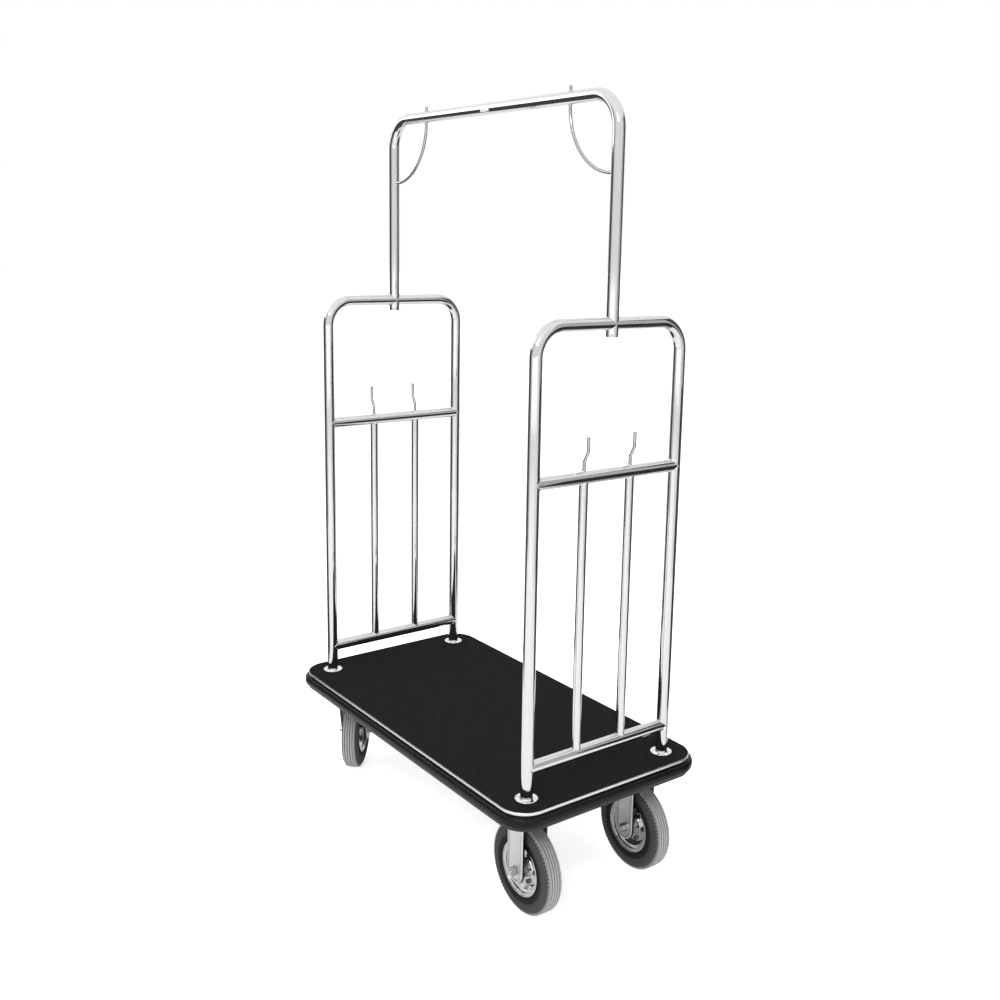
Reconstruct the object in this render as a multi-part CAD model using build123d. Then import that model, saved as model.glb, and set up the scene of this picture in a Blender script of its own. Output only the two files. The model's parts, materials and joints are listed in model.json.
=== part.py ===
from build123d import *
import os
from math import acos, atan2, cos, hypot, pi, sin

# Hotel luggage cart: a carpeted deck on two fixed and two swivel casters, with a tube hoop at each end
# and a tube arch for garments between the hoops. Millimetres.
# X runs along the cart with the fixed casters at +X, the front. Y runs across it, with the left side at
# +Y. Z is up. The origin is on the floor under the middle of the deck.

# Deck
board_length = 1072.0
board_width = 560.0
board_thickness = 18.0
board_corner_radius = 62.0
carpet_thickness = 5.0

# Edge trim and bumper, which wrap the board
trim_wall = 2.0
trim_below_carpet = 0.5
strip_height = 8.0
strip_depth = 2.0
tongue_height = 3.0
tongue_depth = 1.2
bumper_height = 25.5
bumper_depth = 12.0
bumper_round = 10.0
lip_below_bumper = 2.0
lip_height = 7.0

# Base frame, of channels that open downwards
rail_height = 24.0
rail_wall = 3.0
side_rail_width = 30.0
side_rail_inset = 20.0
side_rail_end_inset = 39.0
cross_rail_width = 44.0
middle_rail_offset = 160.0
corner_plate_thickness = 6.0
corner_plate_margin = 10.0

# Tube frame
tube_radius = 15.0
tube_wall = 1.5
leg_inset_x = 61.0
leg_inset_y = 67.5
hoop_above_deck = 1080.0
hoop_bend = 68.0
upper_bar_above_deck = 736.5
lower_bar_above_deck = 72.6
baluster_radius = 11.0
baluster_wall = 1.2
baluster_y = 69.4
arch_above_hoop = 496.0
arch_bend = 78.0

# Rods on the tube frame
rod_radius = 4.0
hook_rise = 21.0
hook_slope = 24.0
hook_step = 13.0
hook_tip = 35.0
hook_bend = 10.0
stop_bend = 154.0
stop_above_bar = 13.0
rod_tip_chamfer = 1.0

# Arch joint: a saddle cap under the hoop, a socket screw and a plug in the arch leg
saddle_length = 15.0
saddle_edge = 2.0
arch_screw_radius = 4.0
arch_screw_reach = 22.0
arch_screw_head_radius = 6.5
arch_screw_head_height = 8.0
arch_screw_head_depth = 1.5
arch_screw_socket = 6.0
arch_screw_socket_depth = 4.0
arch_plug_length = 30.0

# Leg foot: a flange that stands above the carpet, a plug in the tube and a bolt from below
foot_flange_width = 12.0
foot_flange_height = 4.0
foot_flange_rim = 0.8
foot_flange_land = 2.0
leg_plug_length = 40.0
leg_bolt_radius = 5.0
leg_bolt_reach = 33.0
leg_bolt_flats = 16.0
leg_bolt_head = 6.4
washer_radius = 10.0
washer_thickness = 2.0

# Screws into the board
deck_screw_radius = 2.0
deck_screw_head_radius = 4.0
deck_screw_head = 2.4
deck_screw_reach = 13.0
deck_screw_pitch = 230.0
trim_screw_radius = 1.6
trim_screw_head_radius = 3.2
trim_screw_head = 1.6
trim_screw_reach = 20.0
trim_screw_rise = 4.5
trim_screw_pitch = 250.0

# Blank label on the arch
label_length = 36.0
label_height = 15.0
label_thickness = 0.2
label_x = -13.0

# Wheels
wheel_diameter = 225.0
wheel_width = 48.0
groove_width = 2.2
groove_depth = 1.8
groove_offsets = (-12.5, -4.2, 4.2, 12.5)
shoulder_drop = 7.0
shoulder_inset = 3.0
crown_half_width = 16.0
crown_drop = 0.6
bearing_radius = 17.5
bearing_width = 12.0
hub_wall = 5.5
hub_shoulder = 3.0
hub_stand_out = 3.0
rim_wall = 2.0
rim_bolt_margin = 13.0
disc_margin = 10.0
cone_width = 8.0
cone_depth = 12.0
rim_step = 6.0
rim_flange = 7.0
rim_edge_inset = 3.0
rim_lip = 2.0
rim_bolt_count = 5
rim_bolt_radius = 3.0
rim_bolt_flats = 10.0
rim_bolt_head = 4.0
rim_bolt_nut = 5.0
rim_bolt_spare = 2.0

# Casters
caster_inset_x = 105.0
caster_inset_y = 107.5
wheel_headroom = 35.0
caster_plate_length = 95.0
caster_plate_width = 85.0
caster_plate_thickness = 4.0
caster_plate_corner = 6.0
caster_bolt_pitch_x = 76.0
caster_bolt_pitch_y = 45.0
caster_bolt_radius = 4.0
caster_bolt_flats = 13.0
caster_bolt_head = 5.3
caster_nut_height = 6.5
caster_bolt_spare = 2.0
fork_wall = 3.0
fork_flange = 8.0
fork_end_radius = 30.0
fork_crown_wall = 3.0
axle_radius = 6.0
axle_flats = 19.0
axle_head = 7.5
axle_nut = 10.8
axle_spare = 3.0
spacer_wall = 4.0
spacer_length = 8.0
swivel_trail = 50.0
swivel_heading_left = -38.0
swivel_heading_right = -41.0
swivel_crown_back = 42.0
swivel_crown_front = 30.0
ball_radius = 3.2
ball_count = 18
ball_circle = 24.0
race_inner_radius = 14.0
race_outer_radius = 29.0
race_height = 4.0
skirt_radius = 33.0
skirt_wall = 2.5
skirt_height = 8.5
kingpin_radius = 6.0
kingpin_flats = 19.0
kingpin_nut = 8.0
kingpin_washer_radius = 12.0
kingpin_spare = 2.0

# Clearances
weld_gap = 0.05
screw_gap = 0.05
running_gap = 0.05
soft_gap = 0.3
bolt_hole_gap = 0.3
ball_gap = 0.3
plug_gap = 0.05
access_gap = 0.4

# Places and sizes that follow
wheel_radius = wheel_diameter / 2
plate_bottom = wheel_diameter + wheel_headroom
caster_height = plate_bottom + caster_plate_thickness
rail_bottom = caster_height + corner_plate_thickness
board_bottom = rail_bottom + rail_height
board_top = board_bottom + board_thickness
deck_top = board_top + carpet_thickness
trim_top = deck_top - trim_below_carpet
strip_bottom = trim_top - strip_height
bumper_top = strip_bottom - tongue_height
bumper_bottom = bumper_top - bumper_height
lip_top = bumper_bottom - lip_below_bumper
trim_bottom = lip_top - lip_height
lower_bar_height = deck_top + lower_bar_above_deck
upper_bar_height = deck_top + upper_bar_above_deck
hoop_height = deck_top + hoop_above_deck
arch_height = hoop_height + arch_above_hoop
leg_x = board_length / 2 - leg_inset_x
leg_y = board_width / 2 - leg_inset_y
stop_x = leg_x - tube_radius - stop_bend
caster_x = board_length / 2 - caster_inset_x
caster_y = board_width / 2 - caster_inset_y
hub_radius = bearing_radius + hub_wall
hub_length = wheel_width + 2 * hub_stand_out
rim_bolt_circle = hub_radius + rim_bolt_margin
disc_radius = rim_bolt_circle + disc_margin
cone_radius = disc_radius + cone_width
rim_seat_radius = cone_radius + rim_step
rim_edge_radius = rim_seat_radius + rim_flange
rim_half_width = wheel_width / 2 - rim_edge_inset
fork_inner_width = hub_length + 2 * spacer_length
fork_outer_width = fork_inner_width + 2 * fork_wall
spacer_radius = axle_radius + spacer_wall
foot_flange_radius = tube_radius + foot_flange_width
side_rail_y = board_width / 2 - side_rail_inset - side_rail_width / 2
side_rail_length = board_length - 2 * side_rail_end_inset
rail_ceiling = board_bottom - rail_wall

BASE = (Align.CENTER, Align.CENTER, Align.MIN)
ALONG_X = Rot(0, 90, 0)
ALONG_Y = Rot(-90, 0, 0)
LEG_PLACES = [(x, y) for x in (leg_x, -leg_x) for y in (leg_y, -leg_y)]
CASTER_PLACES = [(x, y) for x in (caster_x, -caster_x) for y in (caster_y, -caster_y)]
CASTER_BOLTS = [(x * caster_bolt_pitch_x / 2, y * caster_bolt_pitch_y / 2) for x in (-1, 1) for y in (-1, 1)]

nodes = {}


def keep(name, *pieces):
    """Files one piece, or several separate pieces of one kind, under one node name."""
    nodes[name] = [solid for piece in pieces for solid in piece.solids()]


# ---------------------------------------------------------------- plain shapes

def rod(radius, bottom, top):
    """A round bar standing on the Z axis, between two heights."""
    return Pos(0, 0, bottom) * Cylinder(radius, top - bottom, align=BASE)


def ring(inner, outer, bottom, top):
    """A round sleeve standing on the Z axis."""
    return rod(outer, bottom, top) - rod(inner, bottom, top)


def hexagon(flats, bottom, top):
    """A hexagonal head or nut standing on the Z axis, given across its flats."""
    return extrude(Pos(0, 0, bottom) * RegularPolygon(flats / 2, 6, major_radius=False), top - bottom)


def hex_nut(flats, bore, bottom, top):
    """A hexagonal nut on the Z axis."""
    return hexagon(flats, bottom, top) - rod(bore, bottom, top)


def cover(offset, bottom, top):
    """A slab with the board's rounded outline, made larger all round by an offset."""
    outline = RectangleRounded(board_length + 2 * offset, board_width + 2 * offset, board_corner_radius + offset)
    return extrude(Pos(0, 0, bottom) * outline, top - bottom)


def bent(path, radius):
    """A round bar along a path."""
    return sweep(Plane(origin=path @ 0, z_dir=path % 0) * Circle(radius), path=path)


def bent_tube(path, radius, wall):
    """A round tube along a path."""
    return bent(path, radius) - bent(path, radius - wall)


def turned(section):
    """A body turned about the Z axis from a section of (radius, height)."""
    return revolve(Plane.XZ * section, Axis.Z)


def holes(radius, bottom, top, places):
    """Upright drills at a list of (x, y) places."""
    return [Pos(x, y, 0) * rod(radius, bottom, top) for x, y in places]


def spread(length, pitch):
    """Evenly spaced places along a length, about a pitch apart and half a pitch in from each end."""
    count = max(2, round(length / pitch))
    return [length * ((i + 0.5) / count - 0.5) for i in range(count)]


# ---------------------------------------------------------------- deck

def side_screw_places():
    """Screws up through the side rails into the board."""
    return [(x, y) for x in spread(side_rail_length, deck_screw_pitch) for y in (-side_rail_y, side_rail_y)]


def trim_screw_spots():
    """Screws through the edge trim into the board: each gives its place and its turn about Z."""
    half_length = board_length / 2
    half_width = board_width / 2
    straight_length = board_length - 2 * board_corner_radius
    straight_width = board_width - 2 * board_corner_radius
    along = [(x, side * half_width, 90 * side) for x in spread(straight_length, trim_screw_pitch)
             for side in (-1, 1)]
    across = [(side * half_length, y, 90 - 90 * side) for y in spread(straight_width, trim_screw_pitch)
              for side in (-1, 1)]
    return along + across


def trim_screw(grow):
    """A countersunk screw that points inwards, flush with the trim's face, made larger by a clearance."""
    shank = rod(trim_screw_radius + grow, -trim_wall, trim_screw_reach + grow)
    head = Cone(trim_screw_head_radius + grow, trim_screw_radius + grow, trim_screw_head, align=BASE)
    return shank + Pos(0, 0, -trim_wall) * head


def placed_trim_screws(grow):
    """All the trim screws, low in the board's edge, where the bumper and its tongue cover them."""
    height = board_bottom + trim_screw_rise
    return [Pos(x, y, height) * Rot(0, 0, turn) * Rot(0, -90, 0) * trim_screw(grow)
            for x, y, turn in trim_screw_spots()]


def deck_board():
    """The plywood board, drilled for the leg bolts and for the screws from below and from the edge."""
    board = cover(0, board_bottom, board_top)
    board -= holes(leg_bolt_radius + bolt_hole_gap, board_bottom, board_top, LEG_PLACES)
    board -= holes(deck_screw_radius + screw_gap, board_bottom, board_bottom + deck_screw_reach,
                   side_screw_places())
    return board - placed_trim_screws(screw_gap)


def deck_carpet():
    """The carpet glued on the board, cut out round each leg's flange."""
    carpet = cover(0, board_top, deck_top)
    return carpet - holes(foot_flange_radius + soft_gap, board_top, deck_top, LEG_PLACES)


def edge_trim():
    """The metal edge: a thin web round the board, a proud strip at its top and a lip at its bottom."""
    web = cover(trim_wall, trim_bottom, trim_top)
    strip = cover(trim_wall + strip_depth, strip_bottom, trim_top)
    lip = cover(trim_wall + strip_depth, trim_bottom, lip_top)
    trim = web + strip + lip - cover(0, trim_bottom, trim_top)
    return trim - placed_trim_screws(screw_gap)


def bumper():
    """The vinyl bumper: a rounded band on the web, with a tongue up under the strip."""
    band = cover(trim_wall + bumper_depth, bumper_bottom, bumper_top)
    rims = band.faces().filter_by(Axis.Z).edges()
    band = fillet(rims, min(bumper_round, bumper_height / 2 - 1, bumper_depth - 1))
    tongue = cover(trim_wall + tongue_depth, bumper_bottom, strip_bottom)
    return band + tongue - cover(trim_wall, bumper_bottom, strip_bottom)


def deck_screw(x, y):
    """A screw up through a side rail's ceiling into the board."""
    shank = rod(deck_screw_radius, rail_ceiling, board_bottom + deck_screw_reach)
    head = rod(deck_screw_head_radius, rail_ceiling - deck_screw_head, rail_ceiling)
    return Pos(x, y, 0) * (shank + head)


# ---------------------------------------------------------------- base frame

def channel(length, width):
    """A channel along X that opens downwards, at the height of the base frame."""
    outside = Box(length, width, rail_height, align=BASE)
    inside = Box(length, width - 2 * rail_wall, rail_height - rail_wall, align=BASE)
    return Pos(0, 0, rail_bottom) * (outside - inside)


def side_rail(side):
    """A rail under one long edge of the board."""
    rail = Pos(0, side * side_rail_y, 0) * channel(side_rail_length, side_rail_width)
    return rail - holes(deck_screw_radius + screw_gap, rail_ceiling, board_bottom, side_screw_places())


def cross_rail(x):
    """A rail between the two side rails."""
    length = 2 * side_rail_y - side_rail_width
    rail = Pos(x, 0, 0) * Rot(0, 0, 90) * channel(length, cross_rail_width)
    return rail - holes(leg_bolt_radius + bolt_hole_gap, rail_ceiling, board_bottom, LEG_PLACES)


def corner_plate(x_side, y_side):
    """The steel plate welded under the rails at a corner, which the caster is bolted to."""
    inner_x = caster_x - caster_plate_length / 2 - corner_plate_margin
    inner_y = caster_y - caster_plate_width / 2 - corner_plate_margin
    outer_x = side_rail_length / 2
    outer_y = side_rail_y + side_rail_width / 2
    plate = Box(outer_x - inner_x, outer_y - inner_y, corner_plate_thickness, align=BASE)
    plate = Pos((outer_x + inner_x) / 2, (outer_y + inner_y) / 2, caster_height) * plate
    plate -= Pos(leg_x, leg_y, 0) * rod(washer_radius + access_gap, caster_height, rail_bottom)
    plate -= [Pos(caster_x, caster_y, 0) * drill
              for drill in holes(caster_bolt_radius + bolt_hole_gap, caster_height, rail_bottom, CASTER_BOLTS)]
    if x_side < 0:
        plate = mirror(plate, about=Plane.YZ)
    if y_side < 0:
        plate = mirror(plate, about=Plane.XZ)
    return plate


# ---------------------------------------------------------------- tube frame

def cross_cut(height, x, length):
    """The space of a tube that lies along Y, for coping what meets it."""
    return Pos(x, 0, height) * ALONG_Y * Cylinder(tube_radius + weld_gap, length)


def hoop(x):
    """The end hoop: two legs and a top bar, bent from one tube."""
    path = FilletPolyline((x, -leg_y, board_top), (x, -leg_y, hoop_height),
                          (x, leg_y, hoop_height), (x, leg_y, board_top), radius=hoop_bend)
    tube = bent_tube(path, tube_radius, tube_wall)
    drill = Pos(x, 0, 0) * rod(arch_screw_radius + bolt_hole_gap, hoop_height - 2 * tube_radius,
                               hoop_height + 2 * tube_radius)
    return tube - drill


def cross_bar(x, height):
    """A bar across the hoop, coped onto both legs."""
    bar = Pos(x, 0, height) * ALONG_Y * Cylinder(tube_radius, 2 * leg_y)
    bore = Pos(x, 0, height) * ALONG_Y * Cylinder(tube_radius - tube_wall, 2 * leg_y)
    legs = [Pos(x, y, 0) * rod(tube_radius + weld_gap, height - 2 * tube_radius, height + 2 * tube_radius)
            for y in (-leg_y, leg_y)]
    return bar - bore - legs


def baluster(x, y):
    """An upright between the two cross bars, coped onto both."""
    post = ring(baluster_radius - baluster_wall, baluster_radius, lower_bar_height, upper_bar_height)
    cuts = [cross_cut(height, x, 2 * leg_y) for height in (lower_bar_height, upper_bar_height)]
    return Pos(x, y, 0) * post - cuts


def coat_hook(side, y):
    """A rod welded on the upper bar, cranked outwards and ending upright."""
    start = upper_bar_height
    rise = start + tube_radius + hook_rise
    x = side * leg_x
    path = FilletPolyline((x, y, start), (x, y, rise), (x + side * hook_step, y, rise + hook_slope),
                          (x + side * hook_step, y, rise + hook_slope + hook_tip), radius=hook_bend)
    hook = bent(path, rod_radius)
    hook = chamfer(hook.faces().sort_by(Axis.Z)[-1].edges(), rod_tip_chamfer)
    return hook - cross_cut(upper_bar_height, x, 2 * leg_y)


def arch():
    """The arch: two legs and a top bar, bent from one tube and coped onto the hoops."""
    path = FilletPolyline((-leg_x, 0, hoop_height), (-leg_x, 0, arch_height),
                          (leg_x, 0, arch_height), (leg_x, 0, hoop_height), radius=arch_bend)
    tube = bent_tube(path, tube_radius, tube_wall)
    tube -= [cross_cut(hoop_height, x, 2 * leg_y) for x in (-leg_x, leg_x)]
    drills = [Pos(x, 0, 0) * rod(rod_radius + weld_gap, arch_height - 2 * tube_radius,
                                 arch_height + 2 * tube_radius) for x in (-stop_x, stop_x)]
    return tube - drills


def hanger_stop(side):
    """A rod down through the arch's bar, bent in a quarter circle and welded to the arch's leg."""
    x = side * stop_x
    bend_height = arch_height + tube_radius + stop_above_bar - stop_straight()
    down = Line((x, 0, bend_height + stop_straight()), (x, 0, bend_height))
    foot = (side * (stop_x + stop_bend), 0, bend_height - stop_bend)
    middle = (side * (stop_x + stop_bend * (1 - cos(pi / 4))), 0, bend_height - stop_bend * sin(pi / 4))
    curve = ThreePointArc((x, 0, bend_height), middle, foot)
    end = Line(foot, (side * leg_x, 0, bend_height - stop_bend))
    stop = bent(Wire([down, curve, end]), rod_radius)
    stop = chamfer(stop.faces().sort_by(Axis.Z)[-1].edges(), rod_tip_chamfer)
    return stop - Pos(side * leg_x, 0, 0) * rod(tube_radius + weld_gap, hoop_height, arch_height - arch_bend)


def stop_straight():
    """The straight length of a hanger stop, from its tip to just under the arch's bar."""
    return stop_above_bar + 2 * tube_radius - weld_gap


def arch_plug(x):
    """The plug in the foot of an arch leg, coped with it and tapped for the screw."""
    top = hoop_height + tube_radius + arch_plug_length
    plug = ring(arch_screw_radius + screw_gap, tube_radius - tube_wall - plug_gap, hoop_height, top)
    return Pos(x, 0, 0) * plug - cross_cut(hoop_height, x, 2 * leg_y)


def saddle_cap(x):
    """The cap under the hoop's top bar, coped onto it, with a seat for the screw's head."""
    bottom = hoop_height - tube_radius - saddle_length
    cap = rod(tube_radius, bottom, hoop_height)
    cap = fillet(cap.faces().sort_by(Axis.Z)[0].edges(), saddle_edge)
    seat = bottom + arch_screw_head_depth + arch_screw_head_height
    cap -= rod(arch_screw_head_radius + bolt_hole_gap, bottom, seat)
    cap -= rod(arch_screw_radius + bolt_hole_gap, bottom, hoop_height)
    return Pos(x, 0, 0) * cap - cross_cut(hoop_height, x, 2 * leg_y)


def arch_screw(x):
    """The socket screw up through the cap and the hoop into the plug."""
    head_bottom = hoop_height - tube_radius - saddle_length + arch_screw_head_depth
    seat = head_bottom + arch_screw_head_height
    shank = rod(arch_screw_radius, seat, hoop_height + tube_radius + arch_screw_reach)
    head = rod(arch_screw_head_radius, head_bottom, seat)
    socket = hexagon(arch_screw_socket, head_bottom, head_bottom + arch_screw_socket_depth)
    return Pos(x, 0, 0) * (shank + head - socket)


def blank_label():
    """A blank foil label, curved on the right side of the arch's bar."""
    inner = tube_radius + weld_gap
    wrap = ALONG_X * (Cylinder(inner + label_thickness, label_length) - Cylinder(inner, label_length))
    window = Pos(0, -tube_radius, 0) * Box(label_length, 2 * tube_radius, label_height)
    return Pos(label_x, 0, arch_height) * (wrap & window)


# ---------------------------------------------------------------- leg feet

def foot_flange(x, y):
    """A shallow dished flange round the foot of a leg, on the board, up through the carpet's cut-out."""
    inner = tube_radius + running_gap
    rim = carpet_thickness + foot_flange_rim
    top = carpet_thickness + foot_flange_height
    section = Polygon((inner, 0), (foot_flange_radius, 0), (foot_flange_radius, rim),
                      (inner + foot_flange_land, top), (inner, top), align=None)
    return Pos(x, y, board_top) * turned(section)


def leg_plug(x, y):
    """The tapped plug in the foot of a leg."""
    plug = ring(leg_bolt_radius + screw_gap, tube_radius - tube_wall - plug_gap, board_top,
                board_top + leg_plug_length)
    return Pos(x, y, 0) * plug


def leg_bolt(x, y):
    """The bolt up through the rail and the board into the leg's plug."""
    seat = rail_ceiling - washer_thickness
    shank = rod(leg_bolt_radius, seat, board_top + leg_bolt_reach)
    return Pos(x, y, 0) * (shank + hexagon(leg_bolt_flats, seat - leg_bolt_head, seat))


def leg_washer(x, y):
    """The washer under a leg bolt's head."""
    washer = ring(leg_bolt_radius + bolt_hole_gap, washer_radius, rail_ceiling - washer_thickness, rail_ceiling)
    return Pos(x, y, 0) * washer


# ---------------------------------------------------------------- wheel, turned about Z with its middle at 0

def tyre():
    """The solid tyre: bead, bulging side, rounded shoulder and a grooved tread."""
    seat = rim_seat_radius + soft_gap
    bead = rim_half_width - rim_wall - weld_gap
    side = wheel_width / 2
    shoulder = (wheel_radius - shoulder_drop, side - shoulder_inset)
    edge = (wheel_radius - crown_drop, crown_half_width)
    lip = rim_edge_radius + soft_gap
    foot = Polyline((wheel_radius, 0), (seat, 0), (seat, bead), (lip, bead))
    wall = ThreePointArc((lip, bead), ((lip + shoulder[0]) / 2, side), shoulder)
    round_off = ThreePointArc(shoulder, ((shoulder[0] + 2 * edge[0]) / 3, (2 * shoulder[1] + edge[1]) / 3), edge)
    half = make_face([foot, wall, round_off, Line(edge, (wheel_radius, 0))])
    body = turned(half + mirror(half, about=Plane.XZ))
    grooves = [ring(wheel_radius - groove_depth, wheel_radius + groove_depth, middle - groove_width / 2,
                    middle + groove_width / 2) for middle in groove_offsets]
    return body - grooves


def rim_half():
    """One pressed half of the rim: flat disc, cone, bead seat, flange and a turned lip."""
    outer = rim_seat_radius
    line = [(hub_radius + weld_gap, 0), (disc_radius, 0), (cone_radius, cone_depth),
            (outer, cone_depth + rim_wall), (outer, rim_half_width - rim_wall), (rim_edge_radius, rim_half_width - rim_wall)]
    back = [(rim_edge_radius, rim_half_width + rim_lip), (rim_edge_radius - rim_wall, rim_half_width + rim_lip),
            (rim_edge_radius - rim_wall, rim_half_width), (outer - rim_wall, rim_half_width),
            (outer - rim_wall, cone_depth + 2 * rim_wall), (cone_radius - rim_wall, cone_depth + rim_wall),
            (disc_radius - rim_wall, rim_wall), (hub_radius + weld_gap, rim_wall)]
    half = turned(make_face(Polyline(*line, *back, close=True)))
    return half - holes(rim_bolt_radius + screw_gap, 0, rim_wall, rim_bolt_places())


def rim_bolt_places():
    """The places of the rim bolts round the hub."""
    turns = [2 * pi * i / rim_bolt_count for i in range(rim_bolt_count)]
    return [(rim_bolt_circle * cos(turn), rim_bolt_circle * sin(turn)) for turn in turns]


def rim_bolt(x, y):
    """A bolt through both rim halves."""
    end = -rim_wall - rim_bolt_nut - rim_bolt_spare
    shank = rod(rim_bolt_radius, end, rim_wall)
    return Pos(x, y, 0) * (shank + hexagon(rim_bolt_flats, rim_wall, rim_wall + rim_bolt_head))


def rim_nut(x, y):
    """The nut of a rim bolt."""
    nut = hex_nut(rim_bolt_flats, rim_bolt_radius + screw_gap, -rim_wall - rim_bolt_nut, -rim_wall)
    return Pos(x, y, 0) * nut


def hub_barrel():
    """The hub: a barrel that the rim is welded on, bored at each end for a bearing."""
    shoulder = hub_length / 2 - bearing_width
    barrel = ring(bearing_radius - hub_shoulder, hub_radius, -hub_length / 2, hub_length / 2)
    barrel -= rod(bearing_radius + weld_gap, shoulder, hub_length / 2)
    return barrel - rod(bearing_radius + weld_gap, -hub_length / 2, -shoulder)


def bearing(side):
    """The ball bearing at one end of the hub."""
    race = ring(axle_radius + running_gap, bearing_radius, hub_length / 2 - bearing_width + weld_gap, hub_length / 2)
    return race if side > 0 else mirror(race, about=Plane.XY)


def wheel_pieces():
    """The pieces of one wheel by name, each as a list, turned so that the axle lies along Y."""
    half = rim_half()
    bolts = [rim_bolt(x, y) for x, y in rim_bolt_places()]
    nuts = [rim_nut(x, y) for x, y in rim_bolt_places()]
    pieces = {"tyre": [tyre()], "rim_halves": [half, mirror(half, about=Plane.XY)], "hub": [hub_barrel()],
              "bearings": [bearing(1), bearing(-1)], "rim_bolts": bolts + nuts}
    return {name: [ALONG_Y * piece for piece in group] for name, group in pieces.items()}


# ---------------------------------------------------------------- axle set, with the wheel's middle at 0

def axle():
    """The axle bolt across the fork, its head on the +Y side."""
    end = -fork_outer_width / 2 - axle_nut - axle_spare
    shank = rod(axle_radius, end, fork_outer_width / 2)
    return ALONG_Y * (shank + hexagon(axle_flats, fork_outer_width / 2, fork_outer_width / 2 + axle_head))


def axle_lock_nut():
    """The nut on the axle bolt's other end."""
    outer = -fork_outer_width / 2
    return ALONG_Y * hex_nut(axle_flats, axle_radius + screw_gap, outer - axle_nut, outer)


def axle_spacer(side):
    """The sleeve between a bearing and a fork leg."""
    sleeve = ring(axle_radius + screw_gap, spacer_radius, hub_length / 2 + ball_gap, fork_inner_width / 2)
    sleeve = ALONG_Y * sleeve
    return sleeve if side > 0 else mirror(sleeve, about=Plane.XZ)


# ---------------------------------------------------------------- forks, with the axle's middle at (0, 0)

def tangent_point(x, z, radius, side):
    """Where a line from (x, z) touches a circle round the axle, on its front or its back."""
    turn = atan2(z, x) - side * acos(radius / hypot(x, z))
    return (radius * cos(turn), radius * sin(turn))


def leg_outline(back, front, top, radius):
    """A fork leg's outline: a round end about the axle, and sides that run up to the crown."""
    touch_front = tangent_point(front, top, radius, 1)
    touch_back = tangent_point(back, top, radius, -1)
    sides = Polygon((front, top), (back, top), touch_back, touch_front, align=None)
    return sides + Circle(radius)


def fork_leg(back, front, top):
    """A pressed leg on the +Y side, with its edge turned in towards the wheel."""
    outline = Plane.XZ * leg_outline(back, front, top, fork_end_radius)
    hollow = Plane.XZ * leg_outline(back + fork_wall, front - fork_wall, top, fork_end_radius - fork_wall)
    outer = extrude(outline, fork_flange, dir=(0, 1, 0))
    inner = extrude(hollow, fork_flange - fork_wall, dir=(0, 1, 0))
    leg = Pos(0, fork_outer_width / 2 - fork_flange, 0) * (outer - inner)
    return leg - ALONG_Y * rod(axle_radius + screw_gap, 0, fork_outer_width)


def fork_body(back, front, crown_bottom, crown_wall):
    """Two legs under a flat crown, about the axle."""
    leg = fork_leg(back, front, crown_bottom)
    crown = Box(front - back, fork_outer_width, crown_wall, align=BASE)
    return leg + mirror(leg, about=Plane.XZ) + Pos((front + back) / 2, 0, crown_bottom) * crown


def mounting_plate():
    """A caster's top plate, with rounded corners and four bolt holes, centred on the caster."""
    outline = RectangleRounded(caster_plate_length, caster_plate_width, caster_plate_corner)
    plate = extrude(Pos(0, 0, plate_bottom) * outline, caster_plate_thickness)
    return plate - holes(caster_bolt_radius + bolt_hole_gap, plate_bottom, caster_height, CASTER_BOLTS)


def rigid_fork():
    """The fixed caster's fork, welded to its plate."""
    crown_bottom = plate_bottom - fork_crown_wall - wheel_radius
    fork = fork_body(-fork_end_radius, fork_end_radius, crown_bottom, fork_crown_wall)
    return Pos(0, 0, wheel_radius) * fork + mounting_plate()


def swivel_crown_top():
    """The height of the swivel fork's crown, under the balls."""
    return plate_bottom - race_height - 2 * (ball_radius + ball_gap)


def swivel_plate():
    """The swivel caster's plate, with the upper ball race and the kingpin's hole."""
    race = ring(race_inner_radius, race_outer_radius, plate_bottom - race_height, plate_bottom)
    plate = mounting_plate() + race
    return plate - rod(kingpin_radius + screw_gap, plate_bottom - race_height, caster_height)


def swivel_fork():
    """The swivel caster's fork, with the kingpin at the origin and the wheel trailing behind."""
    crown_top = swivel_crown_top()
    crown_bottom = crown_top - fork_crown_wall - wheel_radius
    fork = fork_body(swivel_trail - swivel_crown_back, swivel_trail + swivel_crown_front, crown_bottom,
                     fork_crown_wall)
    fork = Pos(-swivel_trail, 0, wheel_radius) * fork
    fork += rod(skirt_radius, crown_top - fork_crown_wall, crown_top)
    fork += ring(skirt_radius - skirt_wall, skirt_radius, crown_top, crown_top + skirt_height)
    return fork - rod(kingpin_radius + running_gap, crown_top - fork_crown_wall, crown_top)


def kingpin():
    """The swivel's pin, flush with the top of the plate."""
    washer_top = swivel_crown_top() - fork_crown_wall - ball_gap
    end = washer_top - washer_thickness - kingpin_nut - kingpin_spare
    return rod(kingpin_radius, end, caster_height)


def kingpin_lock_nut():
    """The nut under the swivel fork's crown, with its thrust washer in one piece."""
    washer_top = swivel_crown_top() - fork_crown_wall - ball_gap
    washer_bottom = washer_top - washer_thickness
    nut = hexagon(kingpin_flats, washer_bottom - kingpin_nut, washer_bottom)
    nut += rod(kingpin_washer_radius, washer_bottom, washer_top)
    return nut - rod(kingpin_radius + screw_gap, washer_bottom - kingpin_nut, washer_top)


def race_balls():
    """The ring of balls between the plate and the fork's crown."""
    height = swivel_crown_top() + ball_gap + ball_radius
    turns = [2 * pi * i / ball_count for i in range(ball_count)]
    return [Pos(ball_circle * cos(turn), ball_circle * sin(turn), height) * Sphere(ball_radius)
            for turn in turns]


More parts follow.
